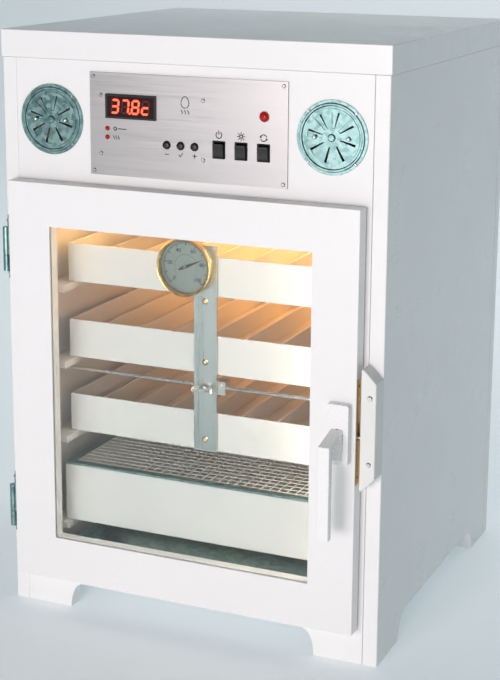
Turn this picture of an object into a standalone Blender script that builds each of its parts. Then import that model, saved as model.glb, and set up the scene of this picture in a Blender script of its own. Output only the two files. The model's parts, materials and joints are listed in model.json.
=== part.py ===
"""Cabinet egg incubator: a white board cabinet on cut-out feet, with a glazed door on lift-off hinges,
three turning egg trays, a hatching tray with a mesh cover, a water pan and a control panel above the door.

Metres, +Z up. The front faces -Y, and the origin is on the surface that it stands on, under the centre
of the whole outline, handle included.
"""

from math import cos, pi, radians, sin

import bmesh
import bpy
from mathutils import Vector
from mathutils.geometry import tessellate_polygon

# ---------------------------------------------------------------- driving sizes

WIDTH = 0.540
DEPTH = 0.520
HEIGHT = 0.800
GAP = 0.0003                    # left between two pieces that touch

BOARD = 0.020                   # sides, front frame and back
LID_THICK = 0.036
LID_OVERHANG = 0.0015
FLOOR_THICK = 0.020
CEILING_THICK = 0.018
LINER_THICK = 0.025             # insulation inside the side and back boards

FOOT_HEIGHT = 0.036             # height of the arches between the feet
FRONT_FOOT_WIDTH = 0.088
FRONT_FOOT_CURVE = 0.018
SIDE_FOOT_DEPTH = 0.085
SIDE_FOOT_CURVE = 0.036
FLOOR_ABOVE_ARCH = 0.004

FASCIA_HEIGHT = 0.1965          # from the top of the cabinet down to the door
DOOR_BOTTOM = 0.0495
DOOR_LEFT_MARGIN = 0.0175
DOOR_RIGHT_MARGIN = 0.0265
DOOR_THICK = 0.022
DOOR_STANDOFF = 0.003           # room for the gasket
DOOR_STILE = 0.062
DOOR_TOP_RAIL = 0.058
DOOR_BOTTOM_RAIL = 0.061
FRAME_STILE = 0.036             # front frame on each side of the chamber's mouth
DOOR_OVER_CEILING = 0.0235      # how far the door reaches past the ceiling's underside
MOUTH_LIP = 0.005               # front frame below the ceiling's underside

GLASS_THICK = 0.004
GLASS_GROOVE = 0.006
GLASS_LIP = 0.003
GLASS_CLEARANCE = 0.0004
GASKET_WIDTH = 0.007
GASKET_INSET = 0.002

HINGE_FROM_END = 0.095          # hinge centre to the door's top or bottom edge
HINGE_HEIGHT = 0.087
HINGE_AXIS_IN = 0.008           # pivot to the cabinet's left side
HINGE_AXIS_OUT = 0.016          # pivot to the cabinet's front
HINGE_BARREL = 0.0047
HINGE_KNUCKLE_LOW = 0.0215
HINGE_KNUCKLE_HIGH = 0.0385
HINGE_PIN = 0.0027
HINGE_CLEARANCE = 0.0004
LEAF_THICK = 0.002

CATCH_HEIGHT = 0.158
CATCH_DEPTH = 0.027
CATCH_CORNER = 0.017
CATCH_FROM_DOOR = 0.0065        # room for the lock's cam
PLATE_HEIGHT = 0.136            # lock faceplate on the door's edge
PLATE_WIDTH = 0.016
PLATE_THICK = 0.0015
LOCK_TRAVEL = 0.015
LOCK_SLIDE_HEIGHT = 0.100
LOCK_SLIDE_WIDTH = 0.009
LOCK_SLIDE_THICK = 0.003
LOCK_CAM = 0.003
LOCK_CAM_REACH = 0.004
LOCK_CLEARANCE = 0.0005

HANDLE_FROM_EDGE = 0.0205       # spindle to the door's right edge
HANDLE_BELOW_MIDDLE = 0.006
HANDLE_BASE_WIDTH = 0.030
HANDLE_BASE_HEIGHT = 0.078
HANDLE_BASE_DEPTH = 0.012
HANDLE_BASE_CORNER = 0.003
HANDLE_BOSS = 0.0070            # round part of the lever that turns in the base
HANDLE_NECK_TOP = 0.0075        # neck's top above the spindle, and its bottom below
HANDLE_NECK_BOTTOM = 0.0340
HANDLE_NECK_SLOPE = 0.0100      # how far the neck's top falls towards the grip
HANDLE_NECK_RISE = 0.0130
HANDLE_PROJECTION = 0.052
HANDLE_GRIP_WIDTH = 0.0155
HANDLE_GRIP_THICK = 0.011
HANDLE_LENGTH = 0.124
SPINDLE = 0.0035

PANEL_WIDTH = 0.277
PANEL_HEIGHT = 0.133
PANEL_THICK = 0.002
PANEL_ABOVE_DOOR = 0.0800       # door's top edge to the panel's centre
PANEL_LAP = 0.0125
CONTROL_BOX_DEPTH = 0.070
CONTROL_BOX_WALL = 0.002

DISPLAY_SIZE = (0.0725, 0.0315)
DISPLAY_BODY = (0.0680, 0.0270)
DISPLAY_PLACE = (-0.0785, 0.0240)
LED_RADIUS = 0.0024
LED_PLACES = ((-0.1132, -0.0052), (-0.1132, -0.0166))
LAMP_RADIUS = 0.0052
LAMP_PLACE = (0.1072, 0.0222)
BUTTON_RADIUS = 0.0052
BUTTON_TRAVEL = 0.0015
BUTTON_PITCH = 0.0196
BUTTON_MIDDLE = (-0.0082, -0.0217)
ROCKER_SIZE = (0.0138, 0.0190)
ROCKER_PITCH = 0.0305
ROCKER_MIDDLE = (0.0757, -0.0232)
ROCKER_TILT = 8.0
CONTROL_CLEARANCE = 0.0004

VENT_RADIUS = 0.0465
VENT_FROM_SIDE = 0.0735
VENT_ABOVE_PANEL = 0.0015       # vent's centre above the panel's centre
VENT_SHEET = 0.0012
VENT_SLOTS = 8
VENT_SLOT_ANGLE = 19.0
VENT_REST_TURN = 14.0           # rotor at rest, nearly shut
VENT_SLOT_INNER = 0.012
VENT_SLOT_OUTER = 0.032
VENT_RING_INNER = 0.0385
VENT_RING_OUTER = 0.0430
VENT_RING_RISE = 0.0022
VENT_ROTOR_RADIUS = 0.0362
VENT_BORE = 0.0370
VENT_STEM = 0.0030

TRAY_FRONT = 0.050              # tray fronts behind the cabinet's front
TRAY_SIDE_ROOM = 0.009          # tray to the side of the chamber's mouth
TRAY_HEIGHT = 0.053
TRAY_WALL = 0.003
TRAY_BACK_ROOM = 0.030
TRAY_TOP_ROOM = 0.0705          # top tray to the ceiling, for the fan and the heater
TRAY_OVER_HATCH = 0.0415
HATCH_FRONT = 0.032
HATCH_HEIGHT = 0.081
HATCH_OVER_FLOOR = 0.057
COVER_THICK = 0.003
COVER_RIM = 0.016
COVER_ROWS = 6
COVER_COLUMNS = 8
COVER_BAR = 0.003
PAN_HEIGHT = 0.024
PAN_WALL = 0.0015
PAN_SIDE_ROOM = 0.014
RAIL_THICK = 0.0095
RAIL_UNDER_TRAY = 0.010

GRID_HEIGHT = 0.028
GRID_STRIP = 0.003
GRID_LANES = 7
GRID_CLEARANCE = 0.001
TURN_TRAVEL = 0.012             # to each side
ROD_RADIUS = 0.0025
ROD_BEHIND_TRAY_FRONT = 0.007
ROD_BELOW_TRAY = 0.0185
ROD_CLEARANCE = 0.0009
ROD_SHORT = 0.003               # rod's right tip before the side panel's face, inside the motor
CLAMP_SIZE = (0.040, 0.0148, 0.0185)
STUD_LENGTH = 0.0190
BAR_PLACE = 0.0045              # bar's centre, right of the cabinet's middle
BAR_WIDTH = 0.0335
BAR_THICK = 0.0025
BAR_BEFORE_TRAY = 0.0021
BAR_END = 0.0005
BAR_PIN = 0.002
BAR_PIN_UP = 0.0165             # bar's pins above the bottoms of the trays
NUT_RADIUS = 0.0060
NUT_DEPTH = 0.0080
MOTOR_SIZE = (0.0417, 0.044, 0.030)
MOTOR_CLEARANCE = 0.0010

GAUGE_RADIUS = 0.039
GAUGE_DEPTH = 0.0168
GAUGE_LEFT_OF_BAR = 0.025
GAUGE_OVER_TRAY = 0.0395        # gauge's centre above the bottom of the top tray
GAUGE_WALL = 0.0025
GAUGE_DIAL_DEPTH = 0.011
GAUGE_GLASS = 0.0015
NEEDLE_LENGTH = 0.028
NEEDLE_ANGLE = 24.0

FAN_RADIUS = 0.070
FAN_BLADES = 5
FAN_DROP = 0.018
FAN_THICK = 0.003
FAN_MOTOR_RADIUS = 0.034
FAN_MOTOR_HEIGHT = 0.042
FAN_SHAFT = 0.003
HEATER_RADIUS = 0.095
HEATER_TUBE = 0.004
HEATER_DROP = 0.034
CHAMBER_LAMP_PLACE = (-0.150, 0.090)   # from the middle, and behind the front
PROBE_PLACE = (0.130, 0.110)
PROBE_LENGTH = 0.060
AIR_HOLE = 0.025
GLAND_RADIUS = 0.011
GLAND_BORE = 0.0045
GLAND_PLACE = (0.180, 0.110)    # from the middle, and below the top

SEGMENTS = 32

# ---------------------------------------------------------------- worked out from them

X_SIDE = WIDTH / 2
X_INNER = X_SIDE - BOARD
X_LINER = X_INNER - LINER_THICK
FRONT_REACH = DOOR_STANDOFF + DOOR_THICK + HANDLE_PROJECTION + HANDLE_GRIP_THICK / 2
Y_MIDDLE = (FRONT_REACH - LID_OVERHANG) / 2     # cabinet's centre, behind that of the whole outline
Y_FRONT = Y_MIDDLE - DEPTH / 2
Y_BACK = Y_MIDDLE + DEPTH / 2
Y_LINER = Y_BACK - BOARD - LINER_THICK
Z_BODY = HEIGHT - LID_THICK

FLOOR_BOTTOM = FOOT_HEIGHT + FLOOR_ABOVE_ARCH
FLOOR_TOP = FLOOR_BOTTOM + FLOOR_THICK
DOOR_TOP = HEIGHT - FASCIA_HEIGHT
CEILING = DOOR_TOP - DOOR_OVER_CEILING
MOUTH_HALF = X_INNER - FRAME_STILE
MOUTH_TOP = CEILING - MOUTH_LIP

DOOR_LEFT = -X_SIDE + DOOR_LEFT_MARGIN
DOOR_RIGHT = X_SIDE - DOOR_RIGHT_MARGIN
DOOR_REAR = Y_FRONT - DOOR_STANDOFF
DOOR_FACE = DOOR_REAR - DOOR_THICK
DOOR_MIDDLE = (DOOR_BOTTOM + DOOR_TOP) / 2
WINDOW = ((DOOR_LEFT + DOOR_STILE, DOOR_BOTTOM + DOOR_BOTTOM_RAIL),
          (DOOR_RIGHT - DOOR_STILE, DOOR_TOP - DOOR_TOP_RAIL))

HINGE_X = -X_SIDE + HINGE_AXIS_IN
HINGE_Y = Y_FRONT - HINGE_AXIS_OUT

HANDLE_X = DOOR_RIGHT - HANDLE_FROM_EDGE
HANDLE_Z = DOOR_MIDDLE - HANDLE_BELOW_MIDDLE

PANEL_Z = DOOR_TOP + PANEL_ABOVE_DOOR
PANEL_REAR = Y_FRONT - GAP
PANEL_FACE = PANEL_REAR - PANEL_THICK
VENT_X = X_SIDE - VENT_FROM_SIDE
VENT_Z = PANEL_Z + VENT_ABOVE_PANEL

TRAY_HALF = MOUTH_HALF - TRAY_SIDE_ROOM
TRAY_Y = Y_FRONT + TRAY_FRONT
TRAY_END = Y_LINER - TRAY_BACK_ROOM
HATCH_Y = Y_FRONT + HATCH_FRONT
HATCH_BASE = FLOOR_TOP + HATCH_OVER_FLOOR
COVER_TOP = HATCH_BASE + HATCH_HEIGHT + GAP + COVER_THICK
LOW_TRAY = COVER_TOP + TRAY_OVER_HATCH
HIGH_TRAY = CEILING - TRAY_TOP_ROOM - TRAY_HEIGHT
TRAY_BASES = {"bottom": LOW_TRAY, "middle": (LOW_TRAY + HIGH_TRAY) / 2, "top": HIGH_TRAY}
GRID_HALF = TRAY_HALF - TRAY_WALL - TURN_TRAVEL - GRID_CLEARANCE

ROD_Y = TRAY_Y + ROD_BEHIND_TRAY_FRONT
ROD_Z = TRAY_BASES["middle"] - ROD_BELOW_TRAY
BAR_REAR = TRAY_Y - BAR_BEFORE_TRAY
BAR_FACE = BAR_REAR - BAR_THICK
GAUGE_X = BAR_PLACE - GAUGE_LEFT_OF_BAR
GAUGE_Z = HIGH_TRAY + GAUGE_OVER_TRAY
GAUGE_REAR = BAR_FACE - GAP
GAUGE_FACE = GAUGE_REAR - GAUGE_DEPTH

# ---------------------------------------------------------------- finishes

FINISHES = {
    "white_board": ((0.86, 0.86, 0.85), 0.45, 0.0),
    "white_plastic": ((0.84, 0.85, 0.84), 0.35, 0.0),
    "white_handle": ((0.88, 0.88, 0.87), 0.25, 0.0),
    "brushed_steel": ((0.48, 0.47, 0.46), 0.38, 1.0),
    "zinc_plate": ((0.42, 0.47, 0.46), 0.40, 1.0),
    "aluminium_strip": ((0.60, 0.64, 0.62), 0.38, 1.0),
    "bright_steel": ((0.62, 0.63, 0.64), 0.22, 1.0),
    "yellow_zinc": ((0.72, 0.55, 0.25), 0.35, 1.0),
    "black_plastic": ((0.02, 0.02, 0.02), 0.35, 0.0),
    "red_lens": ((0.45, 0.02, 0.02), 0.15, 0.0),
    "clear_glass": ((0.80, 0.90, 0.86), 0.05, 0.0),
    "grey_rubber": ((0.20, 0.21, 0.21), 0.70, 0.0),
    "lamp_glass": ((0.95, 0.80, 0.50), 0.10, 0.0),
}


def finish(name):
    """Return the material of that name, made the first time it is asked for."""
    material = bpy.data.materials.get(name)
    if material is None:
        colour, roughness, metallic = FINISHES[name]
        material = bpy.data.materials.new(name)
        material.use_nodes = True
        shader = material.node_tree.nodes["Principled BSDF"]
        shader.inputs["Base Color"].default_value = (*colour, 1.0)
        shader.inputs["Roughness"].default_value = roughness
        shader.inputs["Metallic"].default_value = metallic
    return material


# ---------------------------------------------------------------- shapes

def add_piece(name, shape, look, pivot=(0, 0, 0), parent=None):
    """Turn a bmesh in world places into an object whose origin is at the pivot."""
    bmesh.ops.recalc_face_normals(shape, faces=shape.faces)
    bmesh.ops.translate(shape, verts=shape.verts, vec=-Vector(pivot))
    mesh = bpy.data.meshes.new(name)
    shape.to_mesh(mesh)
    shape.free()
    mesh.materials.append(finish(look))
    mesh.shade_smooth()
    mesh.set_sharp_from_angle(angle=radians(35))
    piece = bpy.data.objects.new(name, mesh)
    bpy.context.scene.collection.objects.link(piece)
    piece.location = pivot
    if parent is not None:
        piece.parent = parent
        piece.location = Vector(pivot) - parent.location
    return piece


def add_axis(name, place):
    """Add an empty on a joint's axis, for the pieces that turn or slide together."""
    axis = bpy.data.objects.new(name, None)
    axis.location = place
    axis.empty_display_size = 0.02
    bpy.context.scene.collection.objects.link(axis)
    return axis


def loft(loops, ring=False, shape=None):
    """Join loops of equal length by quads; the ends are capped, or joined to each other in a ring."""
    shape = shape or bmesh.new()
    rows = [[shape.verts.new(point) for point in loop] for loop in loops]
    pairs = list(zip(rows, rows[1:]))
    if ring:
        pairs.append((rows[-1], rows[0]))
    else:
        shape.faces.new(rows[0])
        shape.faces.new(list(reversed(rows[-1])))
    for low, high in pairs:
        for here in range(len(low)):
            there = (here + 1) % len(low)
            shape.faces.new((low[here], low[there], high[there], high[here]))
    return shape


def in_plane(plane, point, height):
    """Lift a point of an outline into space; the plane's missing axis carries the height."""
    u, v = point
    return {"XY": (u, v, height), "XZ": (u, height, v), "YZ": (height, u, v)}[plane]


def prism(outline, holes, plane, low, high):
    """Extrude a flat outline with holes between two heights."""
    shape = bmesh.new()
    flat = [[Vector((*point, 0)) for point in loop] for loop in (outline, *holes)]
    triangles = tessellate_polygon(flat)
    floors = []
    roofs = []
    for loop in (outline, *holes):
        floor = [shape.verts.new(in_plane(plane, point, low)) for point in loop]
        roof = [shape.verts.new(in_plane(plane, point, high)) for point in loop]
        for here in range(len(loop)):
            there = (here + 1) % len(loop)
            shape.faces.new((floor[here], floor[there], roof[there], roof[here]))
        floors.extend(floor)
        roofs.extend(roof)
    for triangle in triangles:
        shape.faces.new([floors[index] for index in triangle])
        shape.faces.new([roofs[index] for index in reversed(triangle)])
    return shape


def rectangle(low, high):
    (u0, v0), (u1, v1) = low, high
    return [(u0, v0), (u1, v0), (u1, v1), (u0, v1)]


def rounded_rectangle(low, high, radius, steps=4):
    (u0, v0), (u1, v1) = low, high
    corners = [(u1 - radius, v0 + radius, -90), (u1 - radius, v1 - radius, 0),
               (u0 + radius, v1 - radius, 90), (u0 + radius, v0 + radius, 180)]
    return [(u + radius * cos(radians(start + 90 * step / steps)),
             v + radius * sin(radians(start + 90 * step / steps)))
            for u, v, start in corners for step in range(steps + 1)]


def circle(centre, radius, segments=SEGMENTS):
    u, v = centre
    return [(u + radius * cos(2 * pi * k / segments), v + radius * sin(2 * pi * k / segments))
            for k in range(segments)]


def block(low, high):
    """A plain box between two corners."""
    (x0, y0, z0), (x1, y1, z1) = low, high
    return loft([[(x, y, z) for x, y in rectangle((x0, y0), (x1, y1))] for z in (z0, z1)])


def open_box(low, high, wall, floor):
    """A tray: a box that is open at the top."""
    (x0, y0, z0), (x1, y1, z1) = low, high
    outer = rectangle((x0, y0), (x1, y1))
    inner = rectangle((x0 + wall, y0 + wall), (x1 - wall, y1 - wall))
    levels = ((outer, z0), (outer, z1), (inner, z1), (inner, z0 + floor))
    return loft([[(x, y, z) for x, y in loop] for loop, z in levels])


def turned(profile, axis, centre, ring=False, segments=SEGMENTS):
    """Turn a profile of (radius, place along the axis) pairs about an axis through the centre."""
    plane = {"X": "YZ", "Y": "XZ", "Z": "XY"}[axis]
    loops = [[in_plane(plane, point, place) for point in circle(centre, radius, segments)]
             for radius, place in profile]
    return loft(loops, ring)


def frame_ring(outer, inner, y_low, y_high):
    """A flat four-sided frame standing in the XZ plane."""
    levels = ((outer, y_low), (outer, y_high), (inner, y_high), (inner, y_low))
    return loft([[(x, y, z) for x, z in loop] for loop, y in levels], ring=True)


def combine(piece, tool_shapes, operation):
    """Cut the tool shapes out of a piece, or join them to it, and keep the result as its mesh."""
    tools = []
    for shape in tool_shapes:
        tool = add_piece("tool", shape, piece.data.materials[0].name)
        tools.append(tool)
        change = piece.modifiers.new("combine", 'BOOLEAN')
        change.operation = operation
        change.object = tool
        change.solver = 'EXACT'
    bpy.context.view_layer.update()
    result = bpy.data.meshes.new_from_object(piece.evaluated_get(bpy.context.evaluated_depsgraph_get()))
    piece.modifiers.clear()
    piece.data = result
    result.name = piece.name
    result.shade_smooth()
    result.set_sharp_from_angle(angle=radians(35))
    for tool in tools:
        bpy.data.objects.remove(tool)
    return piece


def cut(piece, *shapes):
    return combine(piece, shapes, 'DIFFERENCE')


def join(piece, *shapes):
    return combine(piece, shapes, 'UNION')


# ---------------------------------------------------------------- cabinet

def arch(start, end, curve, height, steps=8):
    """Points along an arch between two feet, from its start on the ground to its end."""
    rise = [(start + curve * (1 - cos(radians(90 * k / steps))), height * sin(radians(90 * k / steps)))
            for k in range(steps + 1)]
    fall = [(end - curve * (1 - cos(radians(90 * k / steps))), height * sin(radians(90 * k / steps)))
            for k in range(steps, -1, -1)]
    return rise + fall


def make_side_boards():
    rear = Y_BACK - BOARD - GAP
    outline = [(Y_FRONT, 0)]
    outline += arch(Y_FRONT + SIDE_FOOT_DEPTH, Y_BACK - SIDE_FOOT_DEPTH, SIDE_FOOT_CURVE, FOOT_HEIGHT)
    outline += [(rear, 0), (rear, Z_BODY - GAP), (Y_FRONT, Z_BODY - GAP)]
    for name, low, high in (("left_side_board", -X_SIDE, -X_INNER), ("right_side_board", X_INNER, X_SIDE)):
        add_piece(name, prism(outline, [], "YZ", low, high), "white_board")


def make_front_frame():
    half = X_INNER - GAP
    foot = X_SIDE - FRONT_FOOT_WIDTH
    outline = [(-half, 0)] + arch(-foot, foot, FRONT_FOOT_CURVE, FOOT_HEIGHT)
    outline += [(half, 0), (half, Z_BODY - GAP), (-half, Z_BODY - GAP)]
    mouth = rectangle((-MOUTH_HALF, FLOOR_TOP), (MOUTH_HALF, MOUTH_TOP))
    behind_panel = rectangle((-PANEL_WIDTH / 2 + PANEL_LAP, PANEL_Z - PANEL_HEIGHT / 2 + PANEL_LAP),
                             (PANEL_WIDTH / 2 - PANEL_LAP, PANEL_Z + PANEL_HEIGHT / 2 - PANEL_LAP))
    vents = [circle((side * VENT_X, VENT_Z), VENT_BORE) for side in (-1, 1)]
    shape = prism(outline, [mouth, behind_panel, *vents], "XZ", Y_FRONT, Y_FRONT + BOARD)
    add_piece("front_frame", shape, "white_board")


def make_back_board():
    foot = X_SIDE - FRONT_FOOT_WIDTH
    outline = [(-X_SIDE, 0)] + arch(-foot, foot, FRONT_FOOT_CURVE, FOOT_HEIGHT)
    outline += [(X_SIDE, 0), (X_SIDE, Z_BODY - GAP), (-X_SIDE, Z_BODY - GAP)]
    gland_hole = circle((GLAND_PLACE[0], HEIGHT - GLAND_PLACE[1]), GLAND_RADIUS + GAP)
    add_piece("back_board", prism(outline, [gland_hole], "XZ", Y_BACK - BOARD, Y_BACK), "white_board")


def make_floor_ceiling_lid():
    half = X_INNER - GAP
    front = Y_FRONT + BOARD + GAP
    rear = Y_BACK - BOARD - GAP
    floor = block((-half, front, FLOOR_BOTTOM), (half, rear, FLOOR_TOP - GAP))
    add_piece("floor_board", floor, "white_board")
    shaft_hole = circle((0, Y_MIDDLE), FAN_SHAFT * 2)
    air_holes = [circle((side * VENT_X, front + AIR_HOLE * 2), AIR_HOLE) for side in (-1, 1)]
    ceiling = prism(rectangle((-half, front), (half, rear)), [shaft_hole, *air_holes],
                    "XY", CEILING, CEILING + CEILING_THICK)
    add_piece("ceiling_board", ceiling, "white_board")
    lid = block((-X_SIDE - LID_OVERHANG, Y_FRONT - LID_OVERHANG, Z_BODY),
                (X_SIDE + LID_OVERHANG, Y_BACK + LID_OVERHANG, HEIGHT))
    add_piece("lid", lid, "white_board")


def rail_outline(side):
    """Section of an insulated side panel with a ledge under each tray."""
    wall = side * (X_INNER - GAP)
    face = side * X_LINER
    ledge = side * (TRAY_HALF - RAIL_UNDER_TRAY)
    points = [(wall, FLOOR_TOP), (face, FLOOR_TOP)]
    for base in (HATCH_BASE, *TRAY_BASES.values()):
        top = base - GAP
        points += [(face, top - RAIL_THICK), (ledge, top - RAIL_THICK), (ledge, top), (face, top)]
    return points + [(face, CEILING - GAP), (wall, CEILING - GAP)]


def make_liners():
    front = Y_FRONT + BOARD + GAP
    rear = Y_LINER - GAP
    left = add_piece("left_rail_panel", prism(rail_outline(-1), [], "XZ", front, rear), "white_plastic")
    bore = ROD_RADIUS + ROD_CLEARANCE
    cut(left, turned([(bore, -X_SIDE), (bore, -X_LINER + 0.002)], "X", (ROD_Y, ROD_Z)))
    right = add_piece("right_rail_panel", prism(rail_outline(1), [], "XZ", front, rear), "white_plastic")
    low, high = motor_corners(MOTOR_CLEARANCE)
    cut(right, block(low, (X_SIDE, high[1], high[2])))
    back = block((-X_INNER + GAP, Y_LINER, FLOOR_TOP), (X_INNER - GAP, Y_BACK - BOARD - GAP, CEILING - GAP))
    add_piece("back_liner", back, "white_plastic")


# ---------------------------------------------------------------- control panel

def on_panel(place):
    return (place[0], PANEL_Z + place[1])


def button_places():
    return [on_panel((BUTTON_MIDDLE[0] + step * BUTTON_PITCH, BUTTON_MIDDLE[1])) for step in (-1, 0, 1)]


def rocker_places():
    return [on_panel((ROCKER_MIDDLE[0] + step * ROCKER_PITCH, ROCKER_MIDDLE[1])) for step in (-1, 0, 1)]


def around(centre, size):
    """A rectangle of that size about its centre."""
    (u, v), (width, height) = centre, size
    return rectangle((u - width / 2, v - height / 2), (u + width / 2, v + height / 2))


def make_control_panel():
    room = CONTROL_CLEARANCE
    holes = [around(on_panel(DISPLAY_PLACE), [size + 2 * room for size in DISPLAY_BODY])]
    holes += [around(place, [size + 2 * room for size in ROCKER_SIZE]) for place in rocker_places()]
    holes += [circle(place, BUTTON_RADIUS + room, 24) for place in button_places()]
    holes += [circle(on_panel(place), LED_RADIUS + room, 16) for place in LED_PLACES]
    holes += [circle(on_panel(LAMP_PLACE), LAMP_RADIUS + room, 24)]
    outline = around((0, PANEL_Z), (PANEL_WIDTH, PANEL_HEIGHT))
    add_piece("control_panel", prism(outline, holes, "XZ", PANEL_FACE, PANEL_REAR), "brushed_steel")


def make_control_box():
    """An open-fronted housing behind the panel."""
    lap = PANEL_LAP + 0.0015
    outer = around((0, PANEL_Z), (PANEL_WIDTH - 2 * lap, PANEL_HEIGHT - 2 * lap))
    lap += CONTROL_BOX_WALL
    inner = around((0, PANEL_Z), (PANEL_WIDTH - 2 * lap, PANEL_HEIGHT - 2 * lap))
    rear = Y_FRONT + CONTROL_BOX_DEPTH
    levels = ((outer, rear), (outer, Y_FRONT), (inner, Y_FRONT), (inner, rear - CONTROL_BOX_WALL))
    add_piece("control_box", loft([[(x, y, z) for x, z in loop] for loop, y in levels]), "black_plastic")


def make_display():
    place = on_panel(DISPLAY_PLACE)
    flange = around(place, DISPLAY_SIZE)
    body = around(place, DISPLAY_BODY)
    window = around(place, [size - 0.006 for size in DISPLAY_SIZE])
    rear = PANEL_FACE - GAP
    face = rear - 0.0028
    levels = ((body, rear + 0.022), (body, rear), (flange, rear), (flange, face),
              (window, face), (window, face + 0.0008))
    add_piece("display_module", loft([[(x, y, z) for x, z in loop] for loop, y in levels]), "black_plastic")


def domed_lamp(radius, flange, height):
    """Profile of a small lamp: body behind the panel, then a flange and a dome in front of it."""
    face = PANEL_FACE - GAP
    profile = [(radius, face + 0.010), (radius, face), (flange, face), (flange, face - 0.0008)]
    return profile + [(radius * cos(radians(angle)), face - 0.0008 - height * sin(radians(angle)))
                      for angle in (0, 30, 55, 75)]


def make_panel_lamps():
    for name, place in zip(("led_upper", "led_lower"), LED_PLACES):
        profile = domed_lamp(LED_RADIUS, LED_RADIUS + 0.0008, 0.0016)
        shape = turned(profile, "Y", on_panel(place), segments=16)
        add_piece(name, shape, "red_lens")
    profile = domed_lamp(LAMP_RADIUS, LAMP_RADIUS + 0.0016, 0.0034)
    shape = turned(profile, "Y", on_panel(LAMP_PLACE), segments=24)
    add_piece("alarm_lamp", shape, "red_lens")


def make_buttons():
    for name, place in zip(("button_minus", "button_set", "button_plus"), button_places()):
        flange = BUTTON_RADIUS + 0.0012
        profile = [(BUTTON_RADIUS * 0.6, PANEL_REAR + 0.014), (BUTTON_RADIUS * 0.6, PANEL_REAR + 0.004),
                   (flange, PANEL_REAR + 0.004), (flange, PANEL_REAR + 0.0022),
                   (BUTTON_RADIUS, PANEL_REAR + 0.0022), (BUTTON_RADIUS, PANEL_FACE - 0.0036),
                   (BUTTON_RADIUS * 0.88, PANEL_FACE - 0.0042)]
        shape = turned(profile, "Y", place, segments=24)
        add_piece(name, shape, "black_plastic", pivot=(place[0], PANEL_FACE, place[1]))


def make_rockers():
    """Each rocker is a bar of one section, tilted to its off side about its pivot in the panel."""
    pivot_y = PANEL_FACE + PANEL_THICK / 2
    half = ROCKER_SIZE[1] / 2
    section = [(-0.0046, half - 0.0008), (-0.0052, half * 0.5), (-0.0040, 0), (-0.0052, -half * 0.5),
               (-0.0046, -half + 0.0008), (0.0060, -half * 0.45), (0.0060, half * 0.45)]
    tilt = radians(ROCKER_TILT)
    for name, (x, z) in zip(("rocker_power", "rocker_lamp", "rocker_turning"), rocker_places()):
        turned_section = [(pivot_y + y * cos(tilt) - v * sin(tilt), z + y * sin(tilt) + v * cos(tilt))
                          for y, v in section]
        width = ROCKER_SIZE[0] / 2
        shape = prism(turned_section, [], "YZ", x - width, x + width)
        add_piece(name, shape, "black_plastic", pivot=(x, pivot_y, z))


# ---------------------------------------------------------------- air vents

def vent_slots(centre, turn=0.0):
    """Wedge-shaped slots all round, each a stretch of ring, turned by that many degrees."""
    u, v = centre
    slots = []
    half = radians(VENT_SLOT_ANGLE / 2)
    for slot in range(VENT_SLOTS):
        middle = 2 * pi * slot / VENT_SLOTS + pi / VENT_SLOTS + radians(turn)
        angles = [middle - half, middle, middle + half]
        outer = [(u + VENT_SLOT_OUTER * cos(a), v + VENT_SLOT_OUTER * sin(a)) for a in angles]
        inner = [(u + VENT_SLOT_INNER * cos(a), v + VENT_SLOT_INNER * sin(a)) for a in reversed(angles)]
        slots.append(outer + inner)
    return slots


def make_vents():
    rear = Y_FRONT - GAP
    face = rear - VENT_SHEET
    rotor_rear = face - GAP
    rotor_face = rotor_rear - VENT_SHEET
    for side, word in ((-1, "left"), (1, "right")):
        centre = (side * VENT_X, VENT_Z)
        plate_shape = prism(circle(centre, VENT_RADIUS, 48),
                            [circle(centre, VENT_STEM + GAP, 16), *vent_slots(centre)], "XZ", face, rear)
        plate = add_piece(f"{word}_vent_plate", plate_shape, "zinc_plate")
        ring = [(VENT_RING_OUTER, face + VENT_SHEET / 2), (VENT_RING_OUTER - 0.0012, face - VENT_RING_RISE),
                (VENT_RING_INNER + 0.0012, face - VENT_RING_RISE), (VENT_RING_INNER, face + VENT_SHEET / 2)]
        join(plate, turned(ring, "Y", centre, ring=True, segments=48))
        rotor_shape = prism(circle(centre, VENT_ROTOR_RADIUS, 48), vent_slots(centre, VENT_REST_TURN),
                            "XZ", rotor_face, rotor_rear)
        pivot = (centre[0], rotor_face, centre[1])
        rotor = add_piece(f"{word}_vent_rotor", rotor_shape, "zinc_plate", pivot=pivot)
        stem = [(VENT_STEM, rear + 0.002), (VENT_STEM, rotor_face - 0.0005),
                (VENT_STEM * 1.7, rotor_face - 0.0008), (VENT_STEM * 1.2, rotor_face - 0.0024)]
        knobs = [turned([(0.0032, rotor_face + VENT_SHEET / 2), (0.0026, rotor_face - 0.0045)],
                        "Y", (centre[0] + 0.022 * cos(turn), centre[1] + 0.022 * sin(turn)), segments=12)
                 for turn in (0, pi)]
        join(rotor, turned(stem, "Y", centre, segments=16), *knobs)


# ---------------------------------------------------------------- hinges and catch

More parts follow.
